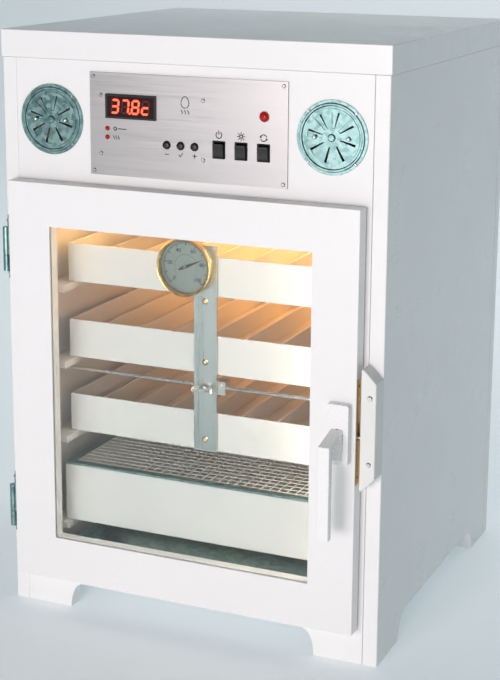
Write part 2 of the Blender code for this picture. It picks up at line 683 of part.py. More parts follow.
def make_hinge(word, middle, door_axis):
    """A lift-off hinge: the cabinet leaf carries the pin, and the door leaf's knuckle drops over it."""
    low = middle - HINGE_HEIGHT / 2
    high = middle + HINGE_HEIGHT / 2
    barrel_low = middle - (HINGE_KNUCKLE_LOW + HINGE_KNUCKLE_HIGH) / 2
    split = barrel_low + HINGE_KNUCKLE_LOW
    barrel_high = split + HINGE_KNUCKLE_HIGH
    axis = (HINGE_X, HINGE_Y)
    plate_rear = Y_FRONT - GAP
    plate_face = plate_rear - LEAF_THICK
    plate_left = -X_SIDE + 0.002
    plate_right = DOOR_LEFT - 0.0035
    leaf = block((plate_left, plate_face, low), (plate_right, plate_rear, high))
    cabinet_leaf = add_piece(f"{word}_cabinet_leaf", leaf, "zinc_plate")
    neck = block((HINGE_X - LEAF_THICK / 2, HINGE_Y, barrel_low + 0.0004),
                 (HINGE_X + LEAF_THICK / 2, plate_rear - LEAF_THICK / 2, split - 0.0004))
    knuckle = turned([(HINGE_BARREL, barrel_low), (HINGE_BARREL, split)], "Z", axis, segments=24)
    pin = turned([(HINGE_PIN, barrel_low + 0.001), (HINGE_PIN, barrel_high - 0.006)], "Z", axis, segments=24)
    join(cabinet_leaf, neck, knuckle, pin)

    door_plate_right = DOOR_LEFT - GAP
    door_plate_left = door_plate_right - LEAF_THICK
    bore = HINGE_PIN + HINGE_CLEARANCE
    door_leaf = add_piece(f"{word}_door_leaf",
                          block((door_plate_left, DOOR_FACE + 0.001, split + 0.002),
                                (door_plate_right, DOOR_REAR - 0.001, high)),
                          "zinc_plate", pivot=(HINGE_X, HINGE_Y, middle), parent=door_axis)
    arm = block((HINGE_X, HINGE_Y - LEAF_THICK / 2, split + 0.0024),
                (door_plate_right - LEAF_THICK / 2, HINGE_Y + LEAF_THICK / 2, barrel_high - 0.001))
    knuckle = turned([(HINGE_BARREL, split + 0.001), (HINGE_BARREL, barrel_high)], "Z", axis, segments=24)
    join(door_leaf, arm, knuckle)
    cut(door_leaf, turned([(bore, split), (bore, barrel_high - 0.004)], "Z", axis, segments=24))


def make_catch_block():
    left = DOOR_RIGHT + CATCH_FROM_DOOR
    low = DOOR_MIDDLE - CATCH_HEIGHT / 2
    high = DOOR_MIDDLE + CATCH_HEIGHT / 2
    outline = [(left, low), (X_SIDE - CATCH_CORNER, low), (X_SIDE, low + CATCH_CORNER),
               (X_SIDE, high - CATCH_CORNER), (X_SIDE - CATCH_CORNER, high), (left, high)]
    rear = Y_FRONT - GAP
    add_piece("catch_block", prism(outline, [], "XZ", rear - CATCH_DEPTH, rear), "white_plastic")


# ---------------------------------------------------------------- door

def make_door(door_axis):
    pivot = (HINGE_X, HINGE_Y, DOOR_BOTTOM)
    (win_left, win_low), (win_right, win_high) = WINDOW
    shape = frame_ring(rectangle((DOOR_LEFT, DOOR_BOTTOM), (DOOR_RIGHT, DOOR_TOP)),
                       rectangle(*WINDOW), DOOR_FACE, DOOR_REAR)
    frame = add_piece("door_frame", shape, "white_board", pivot=pivot, parent=door_axis)
    groove_face = DOOR_FACE + GLASS_LIP
    groove_rear = groove_face + GLASS_THICK + 2 * GLASS_CLEARANCE
    groove = block((win_left - GLASS_GROOVE, groove_face, win_low - GLASS_GROOVE),
                   (win_right + GLASS_GROOVE, groove_rear, win_high + GLASS_GROOVE))
    spindle_hole = turned([(SPINDLE + 0.001, DOOR_FACE - 0.001), (SPINDLE + 0.001, DOOR_FACE + 0.016)],
                          "Y", (HANDLE_X, HANDLE_Z), segments=16)
    middle_y = (DOOR_FACE + DOOR_REAR) / 2
    plate_left = DOOR_RIGHT - PLATE_THICK
    half_width = LOCK_SLIDE_WIDTH / 2 + 0.001
    half_height = LOCK_SLIDE_HEIGHT / 2 + LOCK_TRAVEL / 2 + 0.004
    mortise = block((plate_left - LOCK_SLIDE_THICK - 0.003, middle_y - half_width, HANDLE_Z - half_height),
                    (plate_left + 0.0005, middle_y + half_width, HANDLE_Z + half_height))
    half_width = PLATE_WIDTH / 2 + GAP
    half_height = PLATE_HEIGHT / 2 + GAP
    seat = block((plate_left - GAP, middle_y - half_width, HANDLE_Z - half_height),
                 (DOOR_RIGHT + 0.001, middle_y + half_width, HANDLE_Z + half_height))
    cut(frame, groove, spindle_hole, mortise, seat)

    inset = GLASS_GROOVE - GLASS_CLEARANCE * 2
    glass = block((win_left - inset, groove_face + GLASS_CLEARANCE, win_low - inset),
                  (win_right + inset, groove_rear - GLASS_CLEARANCE, win_high + inset))
    add_piece("door_glass", glass, "clear_glass", pivot=pivot, parent=door_axis)

    outer = GASKET_INSET
    inner = GASKET_INSET + GASKET_WIDTH
    gasket = frame_ring(
        rectangle((DOOR_LEFT + outer, DOOR_BOTTOM + outer), (DOOR_RIGHT - outer, DOOR_TOP - outer)),
        rectangle((DOOR_LEFT + inner, DOOR_BOTTOM + inner), (DOOR_RIGHT - inner, DOOR_TOP - inner)),
        DOOR_REAR + GAP, Y_FRONT - GAP)
    add_piece("door_gasket", gasket, "grey_rubber", pivot=pivot, parent=door_axis)


def make_lock(door_axis):
    """A brass faceplate on the door's edge, and behind it a slide whose cam reaches out through a slot."""
    middle_y = (DOOR_FACE + DOOR_REAR) / 2
    plate_left = DOOR_RIGHT - PLATE_THICK
    centre = (middle_y, HANDLE_Z)
    slot_width = 2 * (LOCK_CAM + LOCK_CLEARANCE)
    slot = around(centre, (slot_width, slot_width + LOCK_TRAVEL))
    plate = prism(around(centre, (PLATE_WIDTH, PLATE_HEIGHT)), [slot], "YZ", plate_left, DOOR_RIGHT)
    pivot = (DOOR_RIGHT, middle_y, HANDLE_Z)
    add_piece("lock_faceplate", plate, "yellow_zinc", pivot=pivot, parent=door_axis)

    slide_right = plate_left - LOCK_CLEARANCE
    rest = HANDLE_Z - LOCK_TRAVEL / 2
    low = (slide_right - LOCK_SLIDE_THICK, middle_y - LOCK_SLIDE_WIDTH / 2, rest - LOCK_SLIDE_HEIGHT / 2)
    high = (slide_right, middle_y + LOCK_SLIDE_WIDTH / 2, rest + LOCK_SLIDE_HEIGHT / 2)
    slide_pivot = (slide_right, middle_y, rest)
    slide = add_piece("lock_slide", block(low, high), "bright_steel", pivot=slide_pivot, parent=door_axis)
    cam = turned([(LOCK_CAM, slide_right - LOCK_SLIDE_THICK / 2), (LOCK_CAM, DOOR_RIGHT + LOCK_CAM_REACH)],
                 "X", (middle_y, rest), segments=20)
    join(slide, cam)


def make_handle(door_axis):
    base_rear = DOOR_FACE - GAP
    base_face = base_rear - HANDLE_BASE_DEPTH
    half_width = HANDLE_BASE_WIDTH / 2
    half_height = HANDLE_BASE_HEIGHT / 2
    outline = rounded_rectangle((HANDLE_X - half_width, HANDLE_Z - half_height),
                                (HANDLE_X + half_width, HANDLE_Z + half_height), HANDLE_BASE_CORNER)
    bore = circle((HANDLE_X, HANDLE_Z), HANDLE_BOSS + 0.0005, 24)
    base = prism(outline, [bore], "XZ", base_face, base_rear)
    pivot = (HANDLE_X, base_face, HANDLE_Z)
    add_piece("handle_base", base, "white_handle", pivot=pivot, parent=door_axis)

    root = base_face - GAP
    grip_face = DOOR_FACE - HANDLE_PROJECTION - HANDLE_GRIP_THICK / 2
    grip_rear = grip_face + HANDLE_GRIP_THICK
    tip = HANDLE_Z - HANDLE_LENGTH
    side = [(root, HANDLE_Z + HANDLE_NECK_TOP), (grip_face, HANDLE_Z + HANDLE_NECK_TOP - HANDLE_NECK_SLOPE),
            (grip_face, tip), (grip_rear, tip),
            (grip_rear, HANDLE_Z - HANDLE_NECK_BOTTOM + HANDLE_NECK_RISE), (root, HANDLE_Z - HANDLE_NECK_BOTTOM)]
    half_width = HANDLE_GRIP_WIDTH / 2
    shape = prism(side, [], "YZ", HANDLE_X - half_width, HANDLE_X + half_width)
    lever = add_piece("handle_lever", shape, "white_handle", pivot=pivot, parent=door_axis)
    boss = [(HANDLE_BOSS, root - 0.002), (HANDLE_BOSS, base_rear - 0.0005)]
    spindle = [(SPINDLE, base_rear - 0.004), (SPINDLE, DOOR_FACE + 0.0145)]
    join(lever, *[turned(profile, "Y", (HANDLE_X, HANDLE_Z), segments=24) for profile in (boss, spindle)])


# ---------------------------------------------------------------- trays

def turn_slot(base):
    """The slot in a tray's front that the turning bar's pin moves along."""
    half = TURN_TRAVEL + BAR_PIN + 0.0015
    middle = base + BAR_PIN_UP
    return block((BAR_PLACE - half, TRAY_Y - 0.001, middle - BAR_PIN - 0.0015),
                 (BAR_PLACE + half, TRAY_Y + TRAY_WALL + 0.001, middle + BAR_PIN + 0.0015))


def make_egg_trays():
    """Each tray holds a loose grid; its strips stand across the way it moves, and roll the eggs."""
    for word, base in TRAY_BASES.items():
        axis = add_axis(f"{word}_tray_slide", (0, TRAY_Y, base))
        corner = (TRAY_HALF, TRAY_END, base + TRAY_HEIGHT)
        shape = open_box((-TRAY_HALF, TRAY_Y, base), corner, TRAY_WALL, TRAY_WALL)
        tray = add_piece(f"egg_tray_{word}", shape, "white_plastic", pivot=(0, TRAY_Y, base), parent=axis)
        cut(tray, turn_slot(base))
        front = TRAY_Y + TRAY_WALL + GAP
        rear = TRAY_END - TRAY_WALL - GAP
        lane = (2 * GRID_HALF - (GRID_LANES + 1) * GRID_STRIP) / GRID_LANES
        lanes = []
        for number in range(GRID_LANES):
            left = -GRID_HALF + GRID_STRIP + number * (lane + GRID_STRIP)
            lanes.append(rectangle((left, front + GRID_STRIP), (left + lane, rear - GRID_STRIP)))
        floor = base + TRAY_WALL + GAP
        outline = rectangle((-GRID_HALF, front), (GRID_HALF, rear))
        grid = prism(outline, lanes, "XY", floor, floor + GRID_HEIGHT)
        add_piece(f"egg_grid_{word}", grid, "white_plastic", pivot=(0, front, floor), parent=axis)


def make_hatch_tray():
    axis = add_axis("hatch_tray_slide", (0, HATCH_Y, HATCH_BASE))
    top = HATCH_BASE + HATCH_HEIGHT
    shape = open_box((-TRAY_HALF, HATCH_Y, HATCH_BASE), (TRAY_HALF, TRAY_END, top), TRAY_WALL, TRAY_WALL)
    add_piece("hatch_tray", shape, "white_plastic", pivot=(0, HATCH_Y, HATCH_BASE), parent=axis)
    left = -TRAY_HALF + COVER_RIM
    front = HATCH_Y + COVER_RIM
    pitch_x = (2 * (TRAY_HALF - COVER_RIM) + COVER_BAR) / COVER_COLUMNS
    pitch_y = (TRAY_END - HATCH_Y - 2 * COVER_RIM + COVER_BAR) / COVER_ROWS
    holes = [rectangle((left + column * pitch_x, front + row * pitch_y),
                       (left + (column + 1) * pitch_x - COVER_BAR, front + (row + 1) * pitch_y - COVER_BAR))
             for column in range(COVER_COLUMNS) for row in range(COVER_ROWS)]
    cover = prism(rectangle((-TRAY_HALF, HATCH_Y), (TRAY_HALF, TRAY_END)), holes, "XY",
                  top + GAP, top + GAP + COVER_THICK)
    add_piece("mesh_cover", cover, "zinc_plate", pivot=(0, HATCH_Y, top), parent=axis)


def make_water_pan():
    half = MOUTH_HALF - PAN_SIDE_ROOM
    base = FLOOR_TOP
    shape = open_box((-half, HATCH_Y, base), (half, TRAY_END, base + PAN_HEIGHT), PAN_WALL, PAN_WALL)
    add_piece("water_pan", shape, "zinc_plate", pivot=(0, HATCH_Y, base))


# ---------------------------------------------------------------- turning gear

def motor_corners(room=0.0):
    """Corners of the turning motor's housing, set into the right side panel under the middle ledge."""
    width, depth, height = MOTOR_SIZE
    right = X_INNER - 2 * GAP
    high = TRAY_BASES["middle"] - GAP - RAIL_THICK - 2 * MOTOR_CLEARANCE
    low_corner = (right - width - room, ROD_Y - depth / 2 - room, high - height - room)
    return low_corner, (right, ROD_Y + depth / 2 + room, high + room)


def make_turning_gear():
    low, high = motor_corners()
    motor = add_piece("turning_motor", block(low, high), "black_plastic")
    bore = ROD_RADIUS + ROD_CLEARANCE
    place = (ROD_Y, ROD_Z)
    left_tip = -(X_INNER - TURN_TRAVEL - 2 * GAP)
    right_tip = X_LINER - ROD_SHORT
    cut(motor, turned([(bore, low[0] - 0.001), (bore, right_tip + TURN_TRAVEL + 0.002)], "X", place))

    axis = add_axis("turning_slide", (0, ROD_Y, ROD_Z))
    rod = add_piece("turning_rod", turned([(ROD_RADIUS, left_tip), (ROD_RADIUS, right_tip)], "X", place),
                    "bright_steel", pivot=(0, ROD_Y, ROD_Z), parent=axis)
    width, depth, height = CLAMP_SIZE
    clamp_face = BAR_REAR + 0.0008
    clamp_left = BAR_PLACE - width * 0.3
    clamp = block((clamp_left, clamp_face, ROD_Z - height * 0.45),
                  (clamp_left + width, clamp_face + depth, ROD_Z + height * 0.55))
    stud = turned([(ROD_RADIUS, clamp_face + 0.003), (ROD_RADIUS, clamp_face - STUD_LENGTH)],
                  "Y", (BAR_PLACE, ROD_Z), segments=24)
    join(rod, clamp, stud)

    half = BAR_WIDTH / 2
    top = GAUGE_Z + 0.029
    outline = rectangle((BAR_PLACE - half, LOW_TRAY - BAR_END), (BAR_PLACE + half, top))
    hole = circle((BAR_PLACE, ROD_Z), ROD_RADIUS + 0.0007, 24)
    bar = add_piece("turning_bar", prism(outline, [hole], "XZ", BAR_FACE, BAR_REAR), "aluminium_strip",
                    pivot=(BAR_PLACE, BAR_REAR, ROD_Z), parent=axis)
    pins = [turned([(BAR_PIN, BAR_REAR - BAR_THICK / 2), (BAR_PIN, TRAY_Y + TRAY_WALL - GAP)],
                   "Y", (BAR_PLACE, base + BAR_PIN_UP), segments=16) for base in TRAY_BASES.values()]
    join(bar, *pins)
    make_wing_nut(axis)


def make_wing_nut(axis):
    rear = BAR_FACE - GAP
    face = rear - NUT_DEPTH
    bore = ROD_RADIUS + 0.0004
    centre = (BAR_PLACE, ROD_Z)
    hub = turned([(NUT_RADIUS, rear), (NUT_RADIUS * 0.8, face), (bore, face), (bore, rear)],
                 "Y", centre, ring=True, segments=24)
    nut = add_piece("wing_nut", hub, "bright_steel", pivot=(BAR_PLACE, rear, ROD_Z), parent=axis)
    wings = []
    for side in (-1, 1):
        inner = BAR_PLACE + side * (bore + 0.001)
        outer = BAR_PLACE + side * NUT_RADIUS * 2.3
        outline = [(inner, rear - 0.001), (inner, face + 0.001), (outer, face - 0.006),
                   (outer, face - 0.001)]
        wings.append(prism(outline, [], "XY", ROD_Z - 0.0012, ROD_Z + 0.0012))
    join(nut, *wings)


def make_gauge():
    """A dial hygrometer fixed to the turning bar, in front of the top tray."""
    centre = (GAUGE_X, GAUGE_Z)
    axis = bpy.data.objects["turning_slide"]
    dial = GAUGE_FACE + GAUGE_DIAL_DEPTH
    inner = GAUGE_RADIUS - GAUGE_WALL
    post = 0.0010
    profile = [(post, dial - 0.0045), (post, dial), (inner, dial), (inner, GAUGE_FACE),
               (GAUGE_RADIUS - 0.001, GAUGE_FACE), (GAUGE_RADIUS, GAUGE_FACE + 0.0015),
               (GAUGE_RADIUS, GAUGE_REAR)]
    pivot = (GAUGE_X, dial, GAUGE_Z)
    case = turned(profile, "Y", centre, segments=48)
    add_piece("hygrometer_case", case, "yellow_zinc", pivot=pivot, parent=axis)
    glass_rear = GAUGE_FACE + 0.001 + GAUGE_GLASS
    glass = turned([(inner - GAP, GAUGE_FACE + 0.001), (inner - GAP, glass_rear)], "Y", centre, segments=48)
    add_piece("hygrometer_glass", glass, "clear_glass", pivot=pivot, parent=axis)
    direction = Vector((cos(radians(NEEDLE_ANGLE)), sin(radians(NEEDLE_ANGLE))))
    across = Vector((-direction.y, direction.x))
    tail = -direction * NEEDLE_LENGTH * 0.35
    points = [tail + across * 0.0014, tail - across * 0.0014, -across * 0.0026, direction * NEEDLE_LENGTH,
              across * 0.0026]
    outline = [(GAUGE_X + point.x, GAUGE_Z + point.y) for point in points]
    needle = prism(outline, [circle(centre, post + 0.0004, 12)], "XZ", dial - 0.0035, dial - 0.0027)
    add_piece("hygrometer_needle", needle, "black_plastic", pivot=pivot, parent=axis)


# ---------------------------------------------------------------- fan, heater, lamp and inlet

def make_fan():
    over = CEILING + CEILING_THICK + GAP
    profile = [(FAN_SHAFT, CEILING - FAN_DROP - FAN_THICK * 3), (FAN_SHAFT, over), (FAN_MOTOR_RADIUS, over),
               (FAN_MOTOR_RADIUS, over + FAN_MOTOR_HEIGHT * 0.8),
               (FAN_MOTOR_RADIUS * 0.6, over + FAN_MOTOR_HEIGHT)]
    add_piece("fan_motor", turned(profile, "Z", (0, Y_MIDDLE)), "black_plastic")
    axis_z = CEILING - FAN_DROP
    bore = FAN_SHAFT + 0.0005
    hub_radius = 0.014
    hub = turned([(hub_radius, axis_z + 0.004), (hub_radius, axis_z - 0.006), (bore, axis_z - 0.006),
                  (bore, axis_z + 0.004)], "Z", (0, Y_MIDDLE), ring=True)
    fan = add_piece("fan_blade", hub, "aluminium_strip", pivot=(0, Y_MIDDLE, axis_z))
    pitch = radians(28)
    blades = []
    for blade in range(FAN_BLADES):
        turn = 2 * pi * blade / FAN_BLADES
        loops = []
        for reach, chord in ((hub_radius * 0.7, 0.012), (FAN_RADIUS * 0.6, 0.030), (FAN_RADIUS, 0.026)):
            section = []
            for along, up in ((-0.5, -0.0006), (0.5, -0.0006), (0.5, 0.0006), (-0.5, 0.0006)):
                side = chord * along * cos(pitch) - up * sin(pitch)
                lift = chord * along * sin(pitch) * 0.45 + up * cos(pitch)
                section.append((reach * cos(turn) - side * sin(turn),
                                Y_MIDDLE + reach * sin(turn) + side * cos(turn), axis_z - 0.001 + lift))
            loops.append(section)
        blades.append(loft(loops))
    join(fan, *blades)


def make_heater():
    level = CEILING - HEATER_DROP
    ring = [(HEATER_RADIUS + HEATER_TUBE * cos(2 * pi * k / 10), level + HEATER_TUBE * sin(2 * pi * k / 10))
            for k in range(10)]
    heater = add_piece("heater_element", turned(ring, "Z", (0, Y_MIDDLE), ring=True), "bright_steel")
    legs = []
    for leg in range(3):
        turn = 2 * pi * leg / 3 + pi / 6
        place = (HEATER_RADIUS * cos(turn), Y_MIDDLE + HEATER_RADIUS * sin(turn))
        leg = [(HEATER_TUBE * 0.6, level), (HEATER_TUBE * 0.6, CEILING - GAP)]
        legs.append(turned(leg, "Z", place, segments=12))
    join(heater, *legs)


def make_chamber_lamp():
    x, back = CHAMBER_LAMP_PLACE
    top = CEILING - GAP
    profile = [(0.015, top), (0.015, top - 0.014), (0.010, top - 0.018), (0.013, top - 0.030),
               (0.013, top - 0.042), (0.009, top - 0.050), (0.003, top - 0.053)]
    add_piece("chamber_lamp", turned(profile, "Z", (x, Y_FRONT + back), segments=24), "lamp_glass")


def make_probe():
    x, back = PROBE_PLACE
    top = CEILING - GAP
    tip = top - PROBE_LENGTH
    profile = [(0.006, top), (0.006, top - 0.004), (0.0028, top - 0.005), (0.0028, tip + 0.002),
               (0.0014, tip)]
    add_piece("temperature_probe", turned(profile, "Z", (x, Y_FRONT + back), segments=16), "bright_steel")


def make_cable_gland():
    centre = (GLAND_PLACE[0], HEIGHT - GLAND_PLACE[1])
    outside = Y_BACK + GAP
    inside = Y_BACK - BOARD
    flange = GLAND_RADIUS + 0.004
    profile = [(GLAND_RADIUS, inside), (GLAND_RADIUS, outside), (flange, outside),
               (flange, outside + 0.0008), (GLAND_BORE, outside + 0.0008), (GLAND_BORE, inside)]
    add_piece("cable_gland", turned(profile, "Y", centre, ring=True, segments=24), "black_plastic")


# ---------------------------------------------------------------- assembly

def main():
    for item in list(bpy.data.objects):
        bpy.data.objects.remove(item)
    make_side_boards()
    make_front_frame()
    make_back_board()
    make_floor_ceiling_lid()
    make_liners()
    make_control_panel()
    make_control_box()
    make_display()
    make_panel_lamps()
    make_buttons()
    make_rockers()
    make_vents()
    door_axis = add_axis("door_axis", (HINGE_X, HINGE_Y, DOOR_BOTTOM))
    make_hinge("upper", DOOR_TOP - HINGE_FROM_END, door_axis)
    make_hinge("lower", DOOR_BOTTOM + HINGE_FROM_END, door_axis)
    make_catch_block()
    make_door(door_axis)
    make_lock(door_axis)
    make_handle(door_axis)
    make_egg_trays()
    make_hatch_tray()
    make_water_pan()
    make_turning_gear()
    make_gauge()
    make_fan()
    make_heater()
    make_chamber_lamp()
    make_probe()
    make_cable_gland()


main()
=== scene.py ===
# %% [markdown]
# # A cabinet egg incubator, finished for rendering
#
# The engineering model is already there: every board, tray and hinge sits in its real place. This
# lesson gives each piece the finish and the small detail that a maker would give it. Boards get
# eased edges, the panel gets its switches and screws, and the chamber gets its wire cover.
# Sizes are in metres, and a millimetre is written as `MM`.

# %% Load the frame
import json
from math import cos, pi, radians, sin

import bmesh
import bpy
from mathutils import Matrix, Vector

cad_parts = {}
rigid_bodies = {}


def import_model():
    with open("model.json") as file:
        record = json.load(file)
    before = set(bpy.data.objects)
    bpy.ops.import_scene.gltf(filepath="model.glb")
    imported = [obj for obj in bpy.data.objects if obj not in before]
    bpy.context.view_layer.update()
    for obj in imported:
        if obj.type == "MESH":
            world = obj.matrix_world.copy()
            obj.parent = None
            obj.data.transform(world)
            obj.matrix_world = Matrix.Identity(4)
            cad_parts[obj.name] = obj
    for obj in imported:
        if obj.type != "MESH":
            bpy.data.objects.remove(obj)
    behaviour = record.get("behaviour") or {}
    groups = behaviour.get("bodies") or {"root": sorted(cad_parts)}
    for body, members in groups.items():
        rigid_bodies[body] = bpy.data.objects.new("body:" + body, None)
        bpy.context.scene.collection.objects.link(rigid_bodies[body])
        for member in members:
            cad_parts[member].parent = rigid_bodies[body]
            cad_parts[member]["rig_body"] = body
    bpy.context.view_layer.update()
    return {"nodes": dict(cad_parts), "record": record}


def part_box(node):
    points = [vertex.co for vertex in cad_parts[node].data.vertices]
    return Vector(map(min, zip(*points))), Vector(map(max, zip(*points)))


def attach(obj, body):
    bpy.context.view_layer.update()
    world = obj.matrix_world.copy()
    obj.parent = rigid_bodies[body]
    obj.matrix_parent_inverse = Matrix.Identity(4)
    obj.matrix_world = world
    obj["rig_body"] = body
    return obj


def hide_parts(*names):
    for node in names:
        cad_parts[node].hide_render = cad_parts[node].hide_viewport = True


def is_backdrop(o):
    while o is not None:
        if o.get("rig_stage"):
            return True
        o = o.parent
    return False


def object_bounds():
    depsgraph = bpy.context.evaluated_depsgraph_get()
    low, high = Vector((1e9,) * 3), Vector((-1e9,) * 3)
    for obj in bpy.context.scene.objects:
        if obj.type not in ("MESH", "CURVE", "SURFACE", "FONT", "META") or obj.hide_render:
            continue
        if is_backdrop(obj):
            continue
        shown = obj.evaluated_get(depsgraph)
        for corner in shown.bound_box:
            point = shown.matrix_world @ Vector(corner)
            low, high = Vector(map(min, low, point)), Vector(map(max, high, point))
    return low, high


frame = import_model()
MM = 0.001
SLOT_OF = {part["node"]: part["material_slot"] for part in frame["record"]["subparts"]}
BODY_OF = {name: node["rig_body"] for name, node in frame["nodes"].items()}


def middle_of(name):
    """The middle of a node's box, seen from the front as (x, z)."""
    low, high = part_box(name)
    return (low.x + high.x) / 2, (low.z + high.z) / 2


# %% [markdown]
# ## Colours and nodes
#
# Colours are easiest to pick as sRGB hex codes, but shaders work with linear light, so one
# function converts them. A second function adds any node with its settings and links. Each
# material could be built by hand in the editor, but a script shows every step and can be reused.

# %% Convert a colour and add a node
def linear(code):
    shares = [int(code[start:start + 2], 16) / 255 for start in (1, 3, 5)]
    return (*(c / 12.92 if c <= 0.04045 else ((c + 0.055) / 1.055) ** 2.4 for c in shares), 1.0)


def add(tree, kind, inputs=None, **settings):
    """Adds a node; an input given a socket is linked, and any other is set."""
    node = tree.nodes.new(kind)
    for name, value in settings.items():
        setattr(node, name, value)
    for name, value in (inputs or {}).items():
        if isinstance(value, bpy.types.NodeSocket):
            tree.links.new(value, node.inputs[name])
        else:
            node.inputs[name].default_value = value
    return node


print("white is", [round(c, 3) for c in linear("#FFFFFF")])

# %% [markdown]
# ## What most surfaces share
#
# Real surfaces are never one flat colour. A broad cloudiness shifts the tint and the gloss, as
# handling does, and a fine grain lifts the surface a little. One function makes both from a grain
# size in millimetres. `stretch` draws the grain out in a direction, as rolling or brushing does.

# %% Make a finish from its tints, gloss and grain
NOISE_SUM = (0.7, 1.3)  # where the sum of the clouds and the grain mostly lies


def new_finish(name, **fixed):
    """A material with its tree and its shader; fixed names sockets, with _ for a space."""
    finish = bpy.data.materials.new(name)
    finish.use_nodes = True
    shader = finish.node_tree.nodes["Principled BSDF"]
    for socket, value in fixed.items():
        shader.inputs[socket.replace("_", " ").title()].default_value = value
    return finish, finish.node_tree, shader


def join_up(tree, shader, tint, gloss, lift):
    tree.links.new(tint.outputs[2], shader.inputs["Base Color"])
    tree.links.new(gloss.outputs[0], shader.inputs["Roughness"])
    tree.links.new(lift.outputs[0], shader.inputs["Normal"])


def make_finish(name, tints, roughness, grain, relief, cloud=70, stretch=(1, 1, 1), **fixed):
    """tints and roughness are pairs; grain, relief and cloud are in millimetres; fixed names sockets."""
    finish, tree, shader = new_finish(name, **fixed)
    place = add(tree, "ShaderNodeTexCoord").outputs["Object"]
    drawn = add(tree, "ShaderNodeMapping", {"Vector": place, "Scale": stretch}).outputs["Vector"]
    clouds = add(tree, "ShaderNodeTexNoise", {"Vector": drawn, "Scale": 1000 / cloud, "Detail": 4.0})
    grains = add(tree, "ShaderNodeTexNoise", {"Vector": drawn, "Scale": 1000 / grain, "Detail": 2.0})
    tint = add(tree, "ShaderNodeMix", {0: clouds.outputs[0], 6: linear(tints[0]), 7: linear(tints[1])},
               data_type="RGBA")
    both = add(tree, "ShaderNodeMath", {0: clouds.outputs[0], 1: grains.outputs[0]})
    gloss = add(tree, "ShaderNodeMapRange", {"Value": both.outputs[0],
                                             "From Min": NOISE_SUM[0], "From Max": NOISE_SUM[1],
                                             "To Min": roughness[0], "To Max": roughness[1]})
    lift = add(tree, "ShaderNodeBump", {"Height": grains.outputs[0], "Strength": 1.0,
                                        "Distance": relief * MM})
    join_up(tree, shader, tint, gloss, lift)
    return finish


# Melamine-faced board: white paper under resin, flat and even, with a faint pearl texture.
laminate = make_finish("white melamine board", ("#F3F2F0", "#EDEDEB"), (0.26, 0.36), 1.6, 0.012)
# Rigid PVC foam sheet: softer white, a little warm, satin where it was pressed.
foam_sheet = make_finish("white rigid PVC sheet", ("#EAE9E6", "#E3E2DE"), (0.34, 0.46), 2.4, 0.02)
# Powder-coated die-casting: glossy with a slight orange peel, about 2 mm from peak to peak.
coated = make_finish("white powder coat", ("#F5F5F4", "#F0F0EE"), (0.22, 0.30), 2.2, 0.005)
# Rubber profile, extruded and slightly dusty.
rubber = make_finish("grey EPDM rubber", ("#3A3C3C", "#4A4C4B"), (0.62, 0.80), 0.8, 0.03)
# Black ABS, spark-eroded mould texture of about half a millimetre.
black_abs = make_finish("black moulded ABS", ("#131314", "#1D1D1E"), (0.30, 0.46), 0.6, 0.02)
print(len(bpy.data.materials), "materials so far")

# %% [markdown]
# ## Metals
#
# A metal's colour is its reflection, so `Metallic` is 1 and the base colour is what it reflects.
# Brushed sheet has scratches a fraction of a millimetre wide and centimetres long, so its grain is
# stretched. Rolled aluminium is similar but fainter. Plated parts are smooth and almost clean. The
# drawn wire is tinned and dull, so it is only partly metallic.

# %% Make the plain metals
stainless = make_finish("brushed stainless steel", ("#A9A7A6", "#B0AEAD"), (0.32, 0.42), 0.7, 0.003,
                        cloud=1.6, stretch=(0.012, 1, 1), metallic=1.0, anisotropic=0.4)
aluminium = make_finish("mill finish aluminium", ("#C2CAC6", "#D2D9D5"), (0.26, 0.42), 1.0, 0.010,
                        cloud=14, stretch=(1, 1, 0.03), metallic=1.0)
plated = make_finish("nickel plated steel", ("#DCDDDC", "#E6E6E4"), (0.20, 0.32), 1.5, 0.004,
                     metallic=1.0)
drawn_wire = make_finish("tinned drawn wire", ("#DDE3E0", "#E8EDEA"), (0.34, 0.46), 1.5, 0.003,
                         metallic=0.3)
brass = make_finish("yellow passivated brass", ("#C9A24A", "#E0C07A"), (0.18, 0.32), 1.5, 0.006,
                    cloud=16, metallic=1.0)
print(len(bpy.data.materials), "materials with the metals")

# %% [markdown]
# ## Galvanised sheet
#
# Hot-dip galvanising leaves a spangle: flat zinc crystals, 4 to 9 mm across, each with its own
# grey. Voronoi cells give exactly that. Each cell has one random value, and it drives the tint
# and the gloss together, so a darker crystal also catches the light differently.

# %% Make the galvanised finish
def make_galvanised(name, tints, spangle):
    finish, tree, shader = new_finish(name, metallic=1.0)
    place = add(tree, "ShaderNodeTexCoord").outputs["Object"]
    warp = add(tree, "ShaderNodeTexNoise", {"Vector": place, "Scale": 1000 / spangle})
    cells = add(tree, "ShaderNodeTexVoronoi", {"Vector": place, "Scale": 1000 / spangle})
    value = add(tree, "ShaderNodeSeparateColor", {0: cells.outputs["Color"]}).outputs[0]
    tint = add(tree, "ShaderNodeMix", {0: value, 6: linear(tints[0]), 7: linear(tints[1])},
               data_type="RGBA")
    gloss = add(tree, "ShaderNodeMapRange", {"Value": value, "To Min": 0.28, "To Max": 0.46})
    lift = add(tree, "ShaderNodeBump", {"Height": warp.outputs[0], "Distance": 0.02 * MM})
    join_up(tree, shader, tint, gloss, lift)
    return finish


galvanised = make_galvanised("galvanised sheet", ("#749493", "#95B4B1"), 5.0)
print(galvanised.name, "made")

# %% [markdown]
# ## Glass, lenses and lit parts
#
# A window pane reflects a little and lets lamps through. A physically exact pane would leave the
# chamber dark and noisy, so rays that come from lamps pass it unbent, through a Transparent
# shader chosen by the Light Path node. Lenses are red plastic with a glow of their own.

